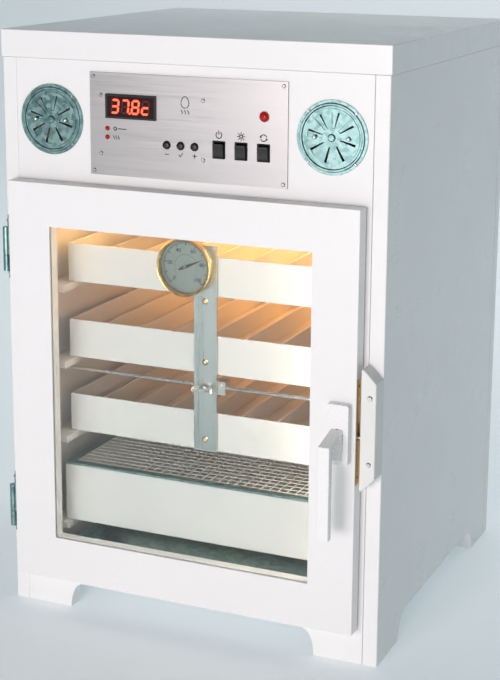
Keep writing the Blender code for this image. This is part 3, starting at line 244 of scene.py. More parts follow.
# %% Make the glass and the glowing finishes
def make_pane(name, colour, let_through):
    finish, tree, shader = new_finish(name, base_color=linear(colour), roughness=0.0,
                                      transmission_weight=1.0)
    shader.inputs["IOR"].default_value = 1.5
    clear = add(tree, "ShaderNodeBsdfTransparent", {"Color": linear(let_through)})
    lamp_ray = add(tree, "ShaderNodeLightPath").outputs["Is Shadow Ray"]
    choice = add(tree, "ShaderNodeMixShader", {0: lamp_ray, 1: shader.outputs[0], 2: clear.outputs[0]})
    tree.links.new(choice.outputs[0], tree.nodes["Material Output"].inputs["Surface"])
    return finish


glass = make_pane("clear float glass", "#E8ECEB", "#C2C8C6")
lens = make_finish("red moulded lens", ("#8A150E", "#9C1A12"), (0.10, 0.16), 3.0, 0.004,
                   emission_color=linear("#FF2A18"), emission_strength=0.10)
lit_segment = make_finish("lit red segment", ("#FF4A30", "#FF5A3C"), (0.4, 0.5), 1.0, 0.0,
                          emission_color=linear("#FF3A22"), emission_strength=5.0)
dim_segment = make_finish("unlit segment", ("#430C0A", "#4A0F0C"), (0.3, 0.4), 1.0, 0.0)
display_window = make_finish("dark red display window", ("#2A0808", "#330B0A"), (0.10, 0.16), 2.0, 0.003)
lamp_glow = make_finish("warm lamp glass", ("#FFE2B0", "#FFDDA6"), (0.1, 0.2), 3.0, 0.0,
                        emission_color=linear("#FFC47A"), emission_strength=14.0)
ink = make_finish("black screen ink", ("#1A1A1A", "#232323"), (0.5, 0.6), 0.6, 0.004)
white_ink = make_finish("white screen ink", ("#EDEDEA", "#E4E4E0"), (0.5, 0.6), 0.6, 0.004)
dial_face = make_finish("satin silver dial", ("#BAC2B9", "#C6CDC4"), (0.30, 0.42), 0.8, 0.004, cloud=12,
                        metallic=0.45)
PAINTS = {"white_board": laminate, "white_plastic": foam_sheet, "white_handle": coated,
          "brushed_steel": stainless, "zinc_plate": galvanised, "aluminium_strip": aluminium,
          "bright_steel": plated, "yellow_zinc": brass, "black_plastic": black_abs, "red_lens": lens,
          "clear_glass": glass, "grey_rubber": rubber, "lamp_glass": lamp_glow}
print(len(bpy.data.materials), "materials")

# %% [markdown]
# ## Paint the engineering nodes
#
# Every node of the frame has a slot in the record, such as `zinc_plate`. Giving each slot its
# finish paints the pieces that stay as they are, such as the fan and the inner boards.

# %% Paint every node by its slot
for name, node in frame["nodes"].items():
    node.data.materials.clear()
    node.data.materials.append(PAINTS[SLOT_OF[name]])
print("painted", len(frame["nodes"]), "nodes")

# %% [markdown]
# ## New pieces
#
# A new piece is a mesh that sits at the origin and rides on the body it is fixed to. Its shading
# is smooth except across edges sharper than 35 degrees, so flats stay flat and rounds look round.

# %% Turn a mesh into a riding piece
def keep_piece(name, mesh, body, replaces=(), angle=35):
    """Shades a mesh, puts it in the scene, says what it rides on and hides the nodes it stands for."""
    mesh.shade_smooth()
    mesh.set_sharp_from_angle(angle=radians(angle))
    piece = bpy.data.objects.new(name, mesh)
    bpy.context.scene.collection.objects.link(piece)
    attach(piece, body)
    if replaces:
        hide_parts(*replaces)
    return piece


def make_piece(name, shape, finish, body, replaces=(), angle=35):
    bmesh.ops.recalc_face_normals(shape, faces=shape.faces)
    mesh = bpy.data.meshes.new(name)
    shape.to_mesh(mesh)
    shape.free()
    mesh.materials.append(finish)
    return keep_piece(name, mesh, body, replaces, angle)


print(len(PAINTS), "paints are ready for new pieces")

# %% [markdown]
# ## Eased edges
#
# Sawn and laminated boards have edges eased by about a millimetre, and bent or moulded parts by
# less. A computer model has none, so its edges look like paper. Merging a node's loose triangles
# and adding a Bevel with hardened normals gives each edge the thin highlight that the eye expects.
# A Weighted Normal modifier then keeps the large faces flat, with no streaks from their corners.

# %% Round the edges of the boards, trays and fittings
BEND = 40  # degrees; an edge that bends less is part of a round


def ease_edges(node, radius):
    """Makes a copy of a node with its edges rounded, which stands for the node."""
    shape = bmesh.new()
    shape.from_mesh(frame["nodes"][node].data)
    bmesh.ops.remove_doubles(shape, verts=shape.verts, dist=0.01 * MM)
    bmesh.ops.dissolve_limit(shape, angle_limit=radians(0.5), verts=shape.verts, edges=shape.edges)
    slot = SLOT_OF[node]
    piece = make_piece(f"{node}_finished", shape, PAINTS[slot], BODY_OF[node], [node], BEND)
    bevel = piece.modifiers.new("eased edges", "BEVEL")
    bevel.width = radius
    bevel.segments = 2
    bevel.limit_method = "ANGLE"
    bevel.angle_limit = radians(BEND)
    bevel.harden_normals = True
    flat = piece.modifiers.new("flat faces", "WEIGHTED_NORMAL")
    flat.keep_sharp = True
    flat.weight = 100


# The radius of an eased edge, and the nodes that have it.
EASED = {1.2 * MM: ["left_side_board", "right_side_board", "lid", "door_frame", "catch_block"],
         0.8 * MM: ["front_frame", "back_board", "floor_board", "left_rail_panel", "right_rail_panel"],
         0.9 * MM: ["egg_tray_bottom", "egg_tray_middle", "egg_tray_top", "hatch_tray"],
         1.8 * MM: ["handle_lever"],
         0.5 * MM: ["egg_grid_bottom", "egg_grid_middle", "egg_grid_top", "turning_motor"],
         0.4 * MM: ["water_pan", "display_module", "lock_faceplate", "turning_bar"],
         0.25 * MM: ["control_panel", "left_vent_plate", "right_vent_plate", "left_vent_rotor",
                     "right_vent_rotor"],
         0.2 * MM: ["upper_cabinet_leaf", "upper_door_leaf", "lower_cabinet_leaf", "lower_door_leaf",
                    "handle_base", "turning_rod", "fan_motor", "fan_blade", "heater_element",
                    "chamber_lamp", "temperature_probe", "cable_gland", "led_upper", "led_lower",
                    "alarm_lamp", "rocker_power", "rocker_lamp", "rocker_turning", "lock_slide"]}
for radius, names in EASED.items():
    for name in names:
        ease_edges(name, radius)
print("eased", sum(len(names) for names in EASED.values()), "nodes")

# %% [markdown]
# ## Turned and flat shapes
#
# Three small builders cover most of the fittings. One spins a profile round an axis that points
# to the front, one gives a flat outline a thickness, and one draws a flat stroke along points.
# Another skins a row of loops. Two more give points on a circle, for dials, signs and screws.

# %% Spin a profile, thicken an outline, draw a stroke
def spin(profile, centre, shape=None, segments=48):
    """profile is (radius, y) pairs from front to back, centre is (x, z), and both ends are closed."""
    shape = shape or bmesh.new()
    rings = []
    for radius, y in profile:
        if radius < 1e-6:
            rings.append([shape.verts.new((centre[0], y, centre[1]))])
            continue
        rings.append([shape.verts.new((centre[0] + radius * cos(2 * pi * k / segments), y,
                                       centre[1] + radius * sin(2 * pi * k / segments)))
                      for k in range(segments)])
    for front, back in zip(rings, rings[1:]):
        for k in range(segments):
            corners = [front[k % len(front)], front[(k + 1) % len(front)],
                       back[(k + 1) % len(back)], back[k % len(back)]]
            shape.faces.new(list(dict.fromkeys(corners)))
    for ring in (rings[0], rings[-1]):
        if len(ring) > 1:
            shape.faces.new(ring)
    return shape


def thicken(outline, y_front, thickness, shape=None):
    """outline is (x, z) points of a convex shape that faces the front."""
    shape = shape or bmesh.new()
    front = [shape.verts.new((x, y_front, z)) for x, z in outline]
    back = [shape.verts.new((x, y_front + thickness, z)) for x, z in outline]
    shape.faces.new(front)
    shape.faces.new(back[::-1])
    for k in range(len(outline)):
        after = (k + 1) % len(outline)
        shape.faces.new((front[k], back[k], back[after], front[after]))
    return shape


def draw(points, width, y_front, thickness, shape=None):
    """A stroke of that width along (x, z) points, one short bar for each stretch."""
    shape = shape or bmesh.new()
    for start, end in zip(points, points[1:]):
        a, b = Vector(start), Vector(end)
        along = (b - a).normalized() * width / 2
        side = Vector((-along.y, along.x))
        thicken([a - along - side, b + along - side, b + along + side, a - along + side],
                y_front, thickness, shape)
    return shape


def bridge(shape, loops):
    """Joins each loop of points to the next one by four-sided faces."""
    for here, after in zip(loops, loops[1:]):
        for k in range(len(here)):
            following = (k + 1) % len(here)
            shape.faces.new((here[k], here[following], after[following], after[k]))


def on_circle(centre, radius, degrees):
    turn = radians(degrees)
    return centre[0] + radius * cos(turn), centre[1] + radius * sin(turn)


def arc(centre, radius, first, last, steps=14):
    return [on_circle(centre, radius, first + (last - first) * k / steps) for k in range(steps + 1)]


print("an arc of", len(arc((0, 0), 1, 0, 90)), "points")

# %% [markdown]
# ## Screws, by Geometry Nodes
#
# The same small cross-head screw holds the panel, the vents, the hinges and the catch. Copying it
# by hand would be slow to change, so a node tree makes one head and puts it on every point. Its
# inputs are the head's radius, its rise and the way it faces. The tree ends in Realize Instances,
# because only real faces are exported.

# %% Build node trees from a short description
def new_tree(name, inputs):
    """A geometry node group with those inputs, given as {name: (socket kind, default)}."""
    tree = bpy.data.node_groups.new(name, "GeometryNodeTree")
    tree.interface.new_socket("Geometry", in_out="INPUT", socket_type="NodeSocketGeometry")
    for label, (kind, value) in inputs.items():
        socket = tree.interface.new_socket(label, in_out="INPUT", socket_type=f"NodeSocket{kind}")
        if value is not None:
            socket.default_value = value
    tree.interface.new_socket("Geometry", in_out="OUTPUT", socket_type="NodeSocketGeometry")
    return tree, tree.nodes.new("NodeGroupInput")


def product(tree, value, factor):
    return add(tree, "ShaderNodeMath", {0: value, 1: factor}, operation="MULTIPLY").outputs[0]


def close_tree(tree, source, geometry):
    """Ends a tree with Realize Instances, Set Material and the output."""
    real = add(tree, "GeometryNodeRealizeInstances", {0: geometry})
    painted = add(tree, "GeometryNodeSetMaterial", {0: real.outputs[0],
                                                    "Material": source.outputs["Finish"]})
    add(tree, "NodeGroupOutput", {0: painted.outputs[0]})


def grow(name, tree, points, body, slot, replaces=(), **values):
    """Runs a tree on points and keeps the result as a plain mesh that rides on a body."""
    seed = bpy.data.meshes.new(name)
    seed.from_pydata([tuple(point) for point in points], [], [])
    holder = bpy.data.objects.new(f"{name}_points", seed)
    bpy.context.scene.collection.objects.link(holder)
    modifier = holder.modifiers.new("grow", "NODES")
    modifier.node_group = tree
    for item in tree.interface.items_tree:
        label = item.name.replace(" ", "_").lower()
        if item.in_out == "INPUT" and label in values:
            modifier[item.identifier] = values[label]
    graph = bpy.context.evaluated_depsgraph_get()
    mesh = bpy.data.meshes.new_from_object(holder.evaluated_get(graph))
    bpy.data.objects.remove(holder)
    keep_piece(name, mesh, body, replaces)
    print(f"{name}: {len(mesh.polygons)} faces")


print("trees can be described, closed and grown")

# %% Describe the screw head
CROWN, SLOT_LONG, SLOT_WIDE = 0.62, 1.05, 0.20  # shares of the head's radius
screw_tree, given = new_tree("cross-head screws", {"Radius": ("Float", 3 * MM), "Rise": ("Float", MM),
                                                   "Facing": ("Vector", (0.0, 0.0, 0.0)),
                                                   "Finish": ("Material", None)})
head = add(screw_tree, "GeometryNodeMeshCone", {"Vertices": 20, "Radius Bottom": given.outputs["Radius"],
                                                "Depth": given.outputs["Rise"]})
screw_tree.links.new(product(screw_tree, given.outputs["Radius"], CROWN), head.inputs["Radius Top"])
recess = []
for long_side, short_side in (("X", "Y"), ("Y", "X")):
    size = add(screw_tree, "ShaderNodeCombineXYZ", {"Z": given.outputs["Rise"]})
    for axis, share in ((long_side, SLOT_LONG), (short_side, SLOT_WIDE)):
        part = product(screw_tree, given.outputs["Radius"], share)
        screw_tree.links.new(part, size.inputs[axis])
    bar = add(screw_tree, "GeometryNodeMeshCube", {"Size": size.outputs[0]})
    raised = add(screw_tree, "ShaderNodeCombineXYZ", {"Z": given.outputs["Rise"]})
    recess.append(add(screw_tree, "GeometryNodeTransform", {0: bar.outputs[0],
                                                            "Translation": raised.outputs[0]}))
carved = add(screw_tree, "GeometryNodeMeshBoolean", {0: head.outputs[0]}, operation="DIFFERENCE")
for bar in recess:
    screw_tree.links.new(bar.outputs[0], carved.inputs[1])
placed = add(screw_tree, "GeometryNodeInstanceOnPoints", {0: given.outputs["Geometry"],
                                                          "Instance": carved.outputs[0]})
turned_way = add(screw_tree, "FunctionNodeEulerToRotation", {0: given.outputs["Facing"]})
screw_tree.links.new(turned_way.outputs[0], placed.inputs["Rotation"])
close_tree(screw_tree, given, placed.outputs[0])
print("the screw tree has", len(screw_tree.nodes), "nodes")

# %% Screw the panel on
FRONT, BACK, RIGHT = (radians(90), 0.0, 0.0), (radians(-90), 0.0, 0.0), (0.0, radians(90), 0.0)
panel_low, panel_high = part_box("control_panel")
panel_face = panel_low.y
panel_middle = (panel_low + panel_high) / 2
from_edge = 5.5 * MM
corner_places = [(x, panel_face, z) for x in (panel_low.x + from_edge, panel_high.x - from_edge)
                 for z in (panel_low.z + from_edge, panel_high.z - from_edge)]
# Four more, given from the panel's middle height, hold the circuit board behind the display.
inner_places = [(x * MM, panel_face, panel_middle.z + z * MM)
                for x in (-122.5, 23.5) for z in (37.5, -38.0)]
grow("panel_screws", screw_tree, corner_places + inner_places, "cabinet", "bright_steel",
     radius=2.8 * MM, rise=1.1 * MM, facing=FRONT, finish=plated)

# %% [markdown]
# ## Screws in the fittings
#
# The same tree screws on the vents, the hinges, the catch block, the lock's faceplate and the back.
# Each fitting's box gives the face that its screws sit on, so nothing is measured twice. The vents
# also get the two round caps that a finger turns them by.

# %% Screw the fittings down
VENT_SHEET, KNOB_REACH = 1.2 * MM, 22 * MM
for side in ("left", "right"):
    low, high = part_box(f"{side}_vent_plate")
    centre = middle_of(f"{side}_vent_plate")
    screw_ring = (high.x - low.x) / 2 - 2.6 * MM
    corners = [on_circle(centre, screw_ring, turn) for turn in (45, 135, 225, 315)]
    grow(f"{side}_vent_screws", screw_tree, [(x, high.y - VENT_SHEET - 0.5 * MM, z) for x, z in corners],
         "cabinet", "bright_steel", radius=2.1 * MM, rise=1.2 * MM, facing=FRONT, finish=plated)
    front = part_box(f"{side}_vent_rotor")[0].y
    cap = [(0, front - 0.5 * MM), (1.7 * MM, front - 0.2 * MM), (2.7 * MM, front + 0.7 * MM),
           (2.9 * MM, front + 2.4 * MM), (0, front + 2.4 * MM)]
    for word, reach in (("left", -KNOB_REACH), ("right", KNOB_REACH)):
        make_piece(f"{side}_vent_{word}_knob", spin(cap, (centre[0] + reach, centre[1]), segments=24),
                   plated, f"{side}_vent_rotor")
for word in ("upper", "lower"):
    low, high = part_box(f"{word}_cabinet_leaf")
    leaf_x = (low.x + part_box(f"{word}_door_leaf")[0].x) / 2 - 0.5 * MM
    leaf_z = middle_of(f"{word}_cabinet_leaf")[1]
    grow(f"{word}_hinge_screws", screw_tree,
         [(leaf_x, high.y - 2.4 * MM, leaf_z + z) for z in (-36 * MM, 36 * MM)],
         "cabinet", "bright_steel", radius=2.2 * MM, rise=0.9 * MM, facing=FRONT, finish=plated)
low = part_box("catch_block")[0]
catch_x = middle_of("catch_block")[0] + 2 * MM
grow("catch_screws", screw_tree, [(catch_x, low.y, low.z + z) for z in (36 * MM, 122 * MM)],
     "cabinet", "bright_steel", radius=3.6 * MM, rise=1.3 * MM, facing=FRONT, finish=plated)
low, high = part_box("lock_faceplate")
grow("faceplate_screws", screw_tree,
     [(high.x, (low.y + high.y) / 2, z) for z in (low.z + 8 * MM, high.z - 8 * MM)],
     "door", "yellow_zinc", radius=3.0 * MM, rise=0.5 * MM, facing=RIGHT, finish=brass)
back_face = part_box("back_board")[1].y
grow("back_screws", screw_tree,
     [(x, back_face, z) for x in (-0.235, 0.0, 0.235) for z in (0.09, 0.42, 0.74)],
     "cabinet", "bright_steel", radius=3.2 * MM, rise=0.9 * MM, facing=BACK, finish=plated)

# %% [markdown]
# ## The display
#
# A seven-segment display is a dark red window with bars before it. Every digit has all seven bars,
# and only some are lit, so the unlit ones are made too, in a dull red. A table says which segments
# each sign needs, and a slant of 6 degrees gives the usual lean. The reading is in degrees.

# %% Make the seven-segment display
SIGNS = {"3": "abcdg", "7": "abc", "8": "abcdefg", "c": "deg"}
DIGIT_WIDTH, DIGIT_HEIGHT, DIGIT_PITCH, BAR = 9.2 * MM, 16.4 * MM, 14.6 * MM, 2.5 * MM
LEAN = 0.105  # sideways for each metre of height


def segment_outline(name, centre):
    """The six-sided bar of one segment; a is the top one and g the middle one."""
    half_w, half_h = DIGIT_WIDTH / 2, DIGIT_HEIGHT / 2
    middles = {"a": (0, half_h), "d": (0, -half_h), "g": (0, 0), "b": (half_w, half_h / 2),
               "c": (half_w, -half_h / 2), "e": (-half_w, -half_h / 2), "f": (-half_w, half_h / 2)}
    u, v = middles[name]
    flat = name in "adg"
    reach = (half_w if flat else half_h / 2) - 0.35 * MM
    tip = BAR / 2
    corners = [(-reach, 0), (-reach + tip, tip), (reach - tip, tip), (reach, 0),
               (reach - tip, -tip), (-reach + tip, -tip)]
    points = []
    for along, across in corners:
        x, z = (u + along, v + across) if flat else (u + across, v - along)
        points.append((centre[0] + x + z * LEAN, centre[1] + z))
    return points


window_low, window_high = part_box("display_module")
window_middle = (window_low + window_high) / 2
window_face = window_low.y + 0.8 * MM
lip = 3.2 * MM
left, right = window_low.x + lip, window_high.x - lip
low, high = window_low.z + lip, window_high.z - lip
pane = thicken([(left, low), (right, low), (right, high), (left, high)], window_face - 0.3 * MM,
               0.28 * MM)
make_piece("display_window", pane, display_window, "cabinet")
lit, dim = bmesh.new(), bmesh.new()
segment_face, segment_thick = window_face - 0.55 * MM, 0.22 * MM
for place, sign in enumerate("378c"):
    centre = (window_middle.x + (place - 1.5) * DIGIT_PITCH, window_middle.z)
    for name in "abcdefg":
        thicken(segment_outline(name, centre), segment_face, segment_thick,
                lit if name in SIGNS[sign] else dim)
point = (window_middle.x - 0.8 * MM, window_middle.z - 8.4 * MM)
thicken(arc(point, 1.3 * MM, 0, 330, 11), segment_face, segment_thick, lit)
make_piece("display_lit_segments", lit, lit_segment, "cabinet")
make_piece("display_dim_segments", dim, dim_segment, "cabinet")
print("segments made for", len(SIGNS), "signs")

# %% [markdown]
# ## Rings, frames and signs on the panel
#
# Round buttons stand in thin black collars, rocker switches in a moulded frame with a lip, and the
# large lamp in a narrow bright ring. The signs are plain ones that any maker uses: a broken ring with
# a bar for power, a lamp with rays, two turning arrows, minus, plus, a tick, and an egg over warm
# air. They are ink, 0.1 mm thick.

# %% Fit the buttons and their collars
def spin_ring(profile, centre, segments=48):
    """Spins a closed profile that doesn't reach the axis, so the ring has a hole."""
    ring = spin(profile + profile[:1], centre, segments=segments)
    bmesh.ops.remove_doubles(ring, verts=ring.verts, dist=1e-6)
    for cap in [face for face in ring.faces if len(face.verts) > 4]:
        ring.faces.remove(cap)
    return ring


seat = panel_face - 0.05 * MM
for name in ("button_minus", "button_set", "button_plus"):
    low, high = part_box(name)
    centre = middle_of(name)
    radius = 4.7 * MM
    collar = [(radius + 0.2 * MM, seat), (radius + 0.25 * MM, seat - 0.8 * MM),
              (radius + 0.7 * MM, seat - 0.8 * MM), (radius + 0.9 * MM, seat)]
    make_piece(f"{name}_collar", spin_ring(collar, centre), black_abs, "cabinet")
    press = [(0, low.y - 0.02 * MM), (radius * 0.5, low.y), (radius * 0.82, low.y + 0.25 * MM),
             (radius * 0.97, low.y + 0.9 * MM), (radius, low.y + 1.6 * MM), (radius, high.y - 12 * MM),
             (radius * 0.6, high.y - 11 * MM), (radius * 0.6, high.y), (0, high.y)]
    make_piece(f"{name}_cap", spin(press, centre), black_abs, name, [name])
print("three buttons capped")


# %% Frame the switches and the lamp
def frame_round(centre, inner, outer, rise, corner):
    """A moulded lip: a rounded rectangular ring on the panel that slopes up from its outer edge."""
    shape = bmesh.new()
    loops = []
    crest = tuple(size - 1.2 * MM for size in outer)
    for (width, height), y, radius in ((outer, seat, corner), (outer, seat - rise * 0.5, corner),
                                       (crest, seat - rise, corner * 0.7),
                                       (inner, seat - rise * 0.8, corner * 0.4),
                                       (inner, seat, corner * 0.4)):
        points = []
        for quarter in range(4):
            u = (width / 2 - radius) * (1 if quarter in (0, 3) else -1)
            v = (height / 2 - radius) * (1 if quarter < 2 else -1)
            points += arc((centre[0] + u, centre[1] + v), radius, quarter * 90, quarter * 90 + 90, 4)
        loops.append([shape.verts.new((x, y, z)) for x, z in points])
    bridge(shape, loops + loops[:1])
    return shape


for name in ("rocker_power", "rocker_lamp", "rocker_turning"):
    centre = (middle_of(name)[0], panel_middle.z - 23.2 * MM)
    lip = frame_round(centre, (14.4 * MM, 19.6 * MM), (17.6 * MM, 22.8 * MM), 1.5 * MM, 1.2 * MM)
    make_piece(f"{name}_frame", lip, black_abs, "cabinet")
bezel = [(6.7 * MM, seat), (6.7 * MM, seat - 0.9 * MM), (7.1 * MM, seat - 0.9 * MM), (7.3 * MM, seat)]
make_piece("alarm_lamp_bezel", spin_ring(bezel, middle_of("alarm_lamp")), plated, "cabinet")
print("panel fittings made")

# %% Print the signs under the buttons and over the switches
signs = bmesh.new()
ink_face, ink_thick = panel_face - 0.12 * MM, 0.1 * MM
line, fine_line = 1.1 * MM, 0.9 * MM
below = panel_middle.z - 33.5 * MM
above = panel_middle.z - 4.5 * MM


def mark(x, z, strokes, width=line):
    """Prints strokes given in millimetres from a place on the panel."""
    for stroke in strokes:
        draw([(x + u * MM, z + v * MM) for u, v in stroke], width, ink_face, ink_thick, signs)


mark(middle_of("button_minus")[0], below, [[(-2.4, 0), (2.4, 0)]])
mark(middle_of("button_set")[0], below, [[(-2.6, 0.2), (-0.6, -2.0), (2.8, 2.4)]])
mark(middle_of("button_plus")[0], below, [[(-2.4, 0), (2.4, 0)], [(0, -2.4), (0, 2.4)]])
mark(middle_of("rocker_power")[0], above, [arc((0, 0), 4.0, 125, 415), [(0, 0.8), (0, 5.3)]])
rays = [[on_circle((0, 0), reach, 45 * k) for reach in (3.4, 5.2)] for k in range(8)]
mark(middle_of("rocker_lamp")[0], above, [arc((0, 0), 2.0, 0, 360)] + rays)
for start in (20, 200):
    swing = arc((middle_of("rocker_turning")[0], above), 4.1 * MM, start, start + 130)
    draw(swing, line, ink_face, ink_thick, signs)
    tip, before = Vector(swing[-1]), Vector(swing[-2])
    along = (tip - before).normalized()
    side = Vector((-along.y, along.x))
    head = [tip + along * 2.6 * MM, tip + side * 2.0 * MM, tip - side * 2.0 * MM]
    thicken(head, ink_face, ink_thick, signs)
print("six signs printed")

# %% Print the signs beside the lamps and the egg
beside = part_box("led_upper")[1].x + 8 * MM
mark(beside, middle_of("led_upper")[1], [arc((0, 0), 2.0, 0, 360), [(4.4, 0), (16, 0)]])
waves = [[(step * 3.4 + 0.9 * sin(k), (k - 3) * 0.75) for k in range(7)] for step in (-0.5, 0.5, 1.5)]
mark(beside, middle_of("led_lower")[1], waves, fine_line)
egg = [((5.4 - 0.9 * sin(t)) * cos(t), 7.2 * sin(t)) for t in (pi * k / 16 for k in range(33))]
rising = [[(x + 1.0 * sin(k * 0.9), -14.5 + k * 0.9) for k in range(6)] for x in (-4.5, 0, 4.5)]
mark(panel_middle.x - 2 * MM, panel_middle.z + 34 * MM, [egg] + rising, fine_line)
make_piece("panel_signs", signs, ink, "cabinet")
print("three more signs printed")

# %% [markdown]
# ## The wire cover, by Geometry Nodes
#
# The hatching tray has a cover of welded wire mesh, 12.5 mm square, so that chicks stay in and
# air moves through. Straight wires lie across straight wires, which is how welded mesh is made.
# The tree draws one wire, repeats it along a line, and does the same the other way, almost a
# wire's thickness lower, so that the crossings are joined. A folded sheet rim holds the ends.

# %% Lay the cover's wires
UNDER = -1.9  # the lower layer's height, in wire radii
wire_tree, given = new_tree("welded wire mesh", {"Width": ("Float", 0.4), "Depth": ("Float", 0.4),
                                                 "Pitch": ("Float", 12.5 * MM),
                                                 "Wire": ("Float", 0.5 * MM),
                                                 "Finish": ("Material", None)})
section = add(wire_tree, "GeometryNodeCurvePrimitiveCircle", {"Resolution": 6,
                                                              "Radius": given.outputs["Wire"]})
layers = add(wire_tree, "GeometryNodeJoinGeometry")
for across, along, layer in (("Width", "Depth", 0.0), ("Depth", "Width", UNDER)):
    height = product(wire_tree, given.outputs["Wire"], layer)
    first, last = (add(wire_tree, "ShaderNodeCombineXYZ", {
        "X": product(wire_tree, given.outputs[along], share), "Z": height}) for share in (-0.5, 0.5))
    wire = add(wire_tree, "GeometryNodeCurvePrimitiveLine", {"Start": first.outputs[0],
                                                             "End": last.outputs[0]})
    start = product(wire_tree, given.outputs[across], -0.5)
    count = add(wire_tree, "ShaderNodeMath", {0: given.outputs[across], 1: given.outputs["Pitch"]},
                operation="DIVIDE")
    from_place = add(wire_tree, "ShaderNodeCombineXYZ", {"Y": start})
    step = add(wire_tree, "ShaderNodeCombineXYZ", {"Y": given.outputs["Pitch"]})
    row = add(wire_tree, "GeometryNodeMeshLine", {"Count": count.outputs[0],
                                                  "Start Location": from_place.outputs[0],
                                                  "Offset": step.outputs[0]})
    copies = add(wire_tree, "GeometryNodeInstanceOnPoints", {0: row.outputs[0],
                                                             "Instance": wire.outputs[0]})
    curves = add(wire_tree, "GeometryNodeRealizeInstances", {0: copies.outputs[0]})
    tubes = add(wire_tree, "GeometryNodeCurveToMesh", {0: curves.outputs[0], 1: section.outputs[0],
                                                       "Fill Caps": True})
    turn = radians(90) if along == "Depth" else 0.0
    turned_row = add(wire_tree, "GeometryNodeTransform", {0: tubes.outputs[0],
                                                          "Rotation": (0.0, 0.0, turn)})
    wire_tree.links.new(turned_row.outputs[0], layers.inputs[0])
cover_low, cover_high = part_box("mesh_cover")
cover_middle = (cover_low + cover_high) / 2
point = add(wire_tree, "GeometryNodeInstanceOnPoints", {0: given.outputs["Geometry"],
                                                        "Instance": layers.outputs[0]})
close_tree(wire_tree, given, point.outputs[0])
under_rim = 14 * MM
grow("cover_wires", wire_tree, [(cover_middle.x, cover_middle.y, cover_high.z - 0.9 * MM)],
     "hatch_tray", "zinc_plate", replaces=["mesh_cover"], width=cover_high.x - cover_low.x - under_rim,
     depth=cover_high.y - cover_low.y - under_rim, pitch=12.5 * MM, wire=0.80 * MM, finish=drawn_wire)

# %% Fold the cover's rim
rim_shape = bmesh.new()
loops = []
bottom, top = cover_low.z, cover_high.z
for inset, z in ((0, bottom), (0, top - 0.3 * MM), (0.4 * MM, top), (11 * MM, top),
                 (11.4 * MM, top - 0.5 * MM), (11 * MM, top - 1 * MM), (1 * MM, top - 1 * MM),
                 (1 * MM, bottom)):
    left, right = cover_low.x + inset, cover_high.x - inset
    near, far = cover_low.y + inset, cover_high.y - inset
    corners = ((left, near), (right, near), (right, far), (left, far))
    loops.append([rim_shape.verts.new((x, y, z)) for x, y in corners])
bridge(rim_shape, loops + loops[:1])
make_piece("cover_rim", rim_shape, galvanised, "hatch_tray")
print("rim folded")

# %% [markdown]
# ## Things in a ring, by Geometry Nodes
#
# Ticks round a dial and ribs round a knurled nut are the same thing: a block repeated round a
# circle. The tree makes an arc, spreads points along it, and turns a block to face outwards.

# %% Describe a ring of blocks
ring_tree, given = new_tree("ring of blocks", {"Count": ("Int", 12), "Radius": ("Float", 10 * MM),
                                               "First": ("Float", 0.0), "Sweep": ("Float", 6.2),
                                               "Block": ("Vector", (MM, MM, MM)),
                                               "Facing": ("Vector", (0.0, 0.0, 0.0)),
                                               "Finish": ("Material", None)})
path = add(ring_tree, "GeometryNodeCurveArc", {"Resolution": given.outputs["Count"],
                                               "Radius": given.outputs["Radius"],
                                               "Start Angle": given.outputs["First"],
                                               "Sweep Angle": given.outputs["Sweep"]})
block = add(ring_tree, "GeometryNodeMeshCube", {"Size": given.outputs["Block"]})
where = add(ring_tree, "GeometryNodeInputPosition")
outward = add(ring_tree, "FunctionNodeAlignRotationToVector", {"Vector": where.outputs[0]}, axis="X",
              pivot_axis="Z")
blocks = add(ring_tree, "GeometryNodeInstanceOnPoints", {0: path.outputs[0],
                                                         "Instance": block.outputs[0],
                                                         "Rotation": outward.outputs[0]})
flat = add(ring_tree, "GeometryNodeRealizeInstances", {0: blocks.outputs[0]})
faced = add(ring_tree, "FunctionNodeEulerToRotation", {0: given.outputs["Facing"]})
onto = add(ring_tree, "GeometryNodeInstanceOnPoints", {0: given.outputs["Geometry"],
                                                       "Instance": flat.outputs[0],
                                                       "Rotation": faced.outputs[0]})
close_tree(ring_tree, given, onto.outputs[0])
print("ring tree has", len(ring_tree.nodes), "nodes")

# %% [markdown]
# ## The hygrometer
#
# A small dial in a rolled brass rim. The rim is spun from a profile with a bead, and the dial has a
# satin silver face. The scale runs from 0 to 100 over 270 degrees, with a fine tick at every 2 and a
# long one at every 10. Upright numbers stand inside it at every 20.

# %% Spin the rim and lay the dial
case_low, case_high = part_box("hygrometer_case")
gauge = middle_of("hygrometer_case")
outer = (case_high.x - case_low.x) / 2
front, rear = case_low.y, case_high.y
dial_y = front + 11.0 * MM
inner = outer - 2.5 * MM
bead = [(inner - 0.1 * MM, front + 3.4 * MM), (inner - 1.4 * MM, front + 2.6 * MM),
        (inner - 1.2 * MM, front + 1.6 * MM), (inner + 0.2 * MM, front + 0.3 * MM),
        (outer - 1.0 * MM, front), (outer - 0.2 * MM, front + 0.8 * MM),
        (outer, front + 1.9 * MM), (outer - 0.4 * MM, front + 3.2 * MM)]
shell = [(outer - 1.4 * MM, front + 3.8 * MM), (outer - 1.5 * MM, rear - 0.6 * MM),
         (outer - 2.1 * MM, rear), (0, rear)]
rim = [(0, dial_y), (inner - 0.2 * MM, dial_y)] + bead + shell
make_piece("hygrometer_rim", spin(rim, gauge, segments=96), brass, "turning_bar",
           ["hygrometer_case"], 50)


def disc(radius, y_front, y_back):
    return spin([(0, y_front), (radius, y_front), (radius, y_back), (0, y_back)], gauge, segments=72)


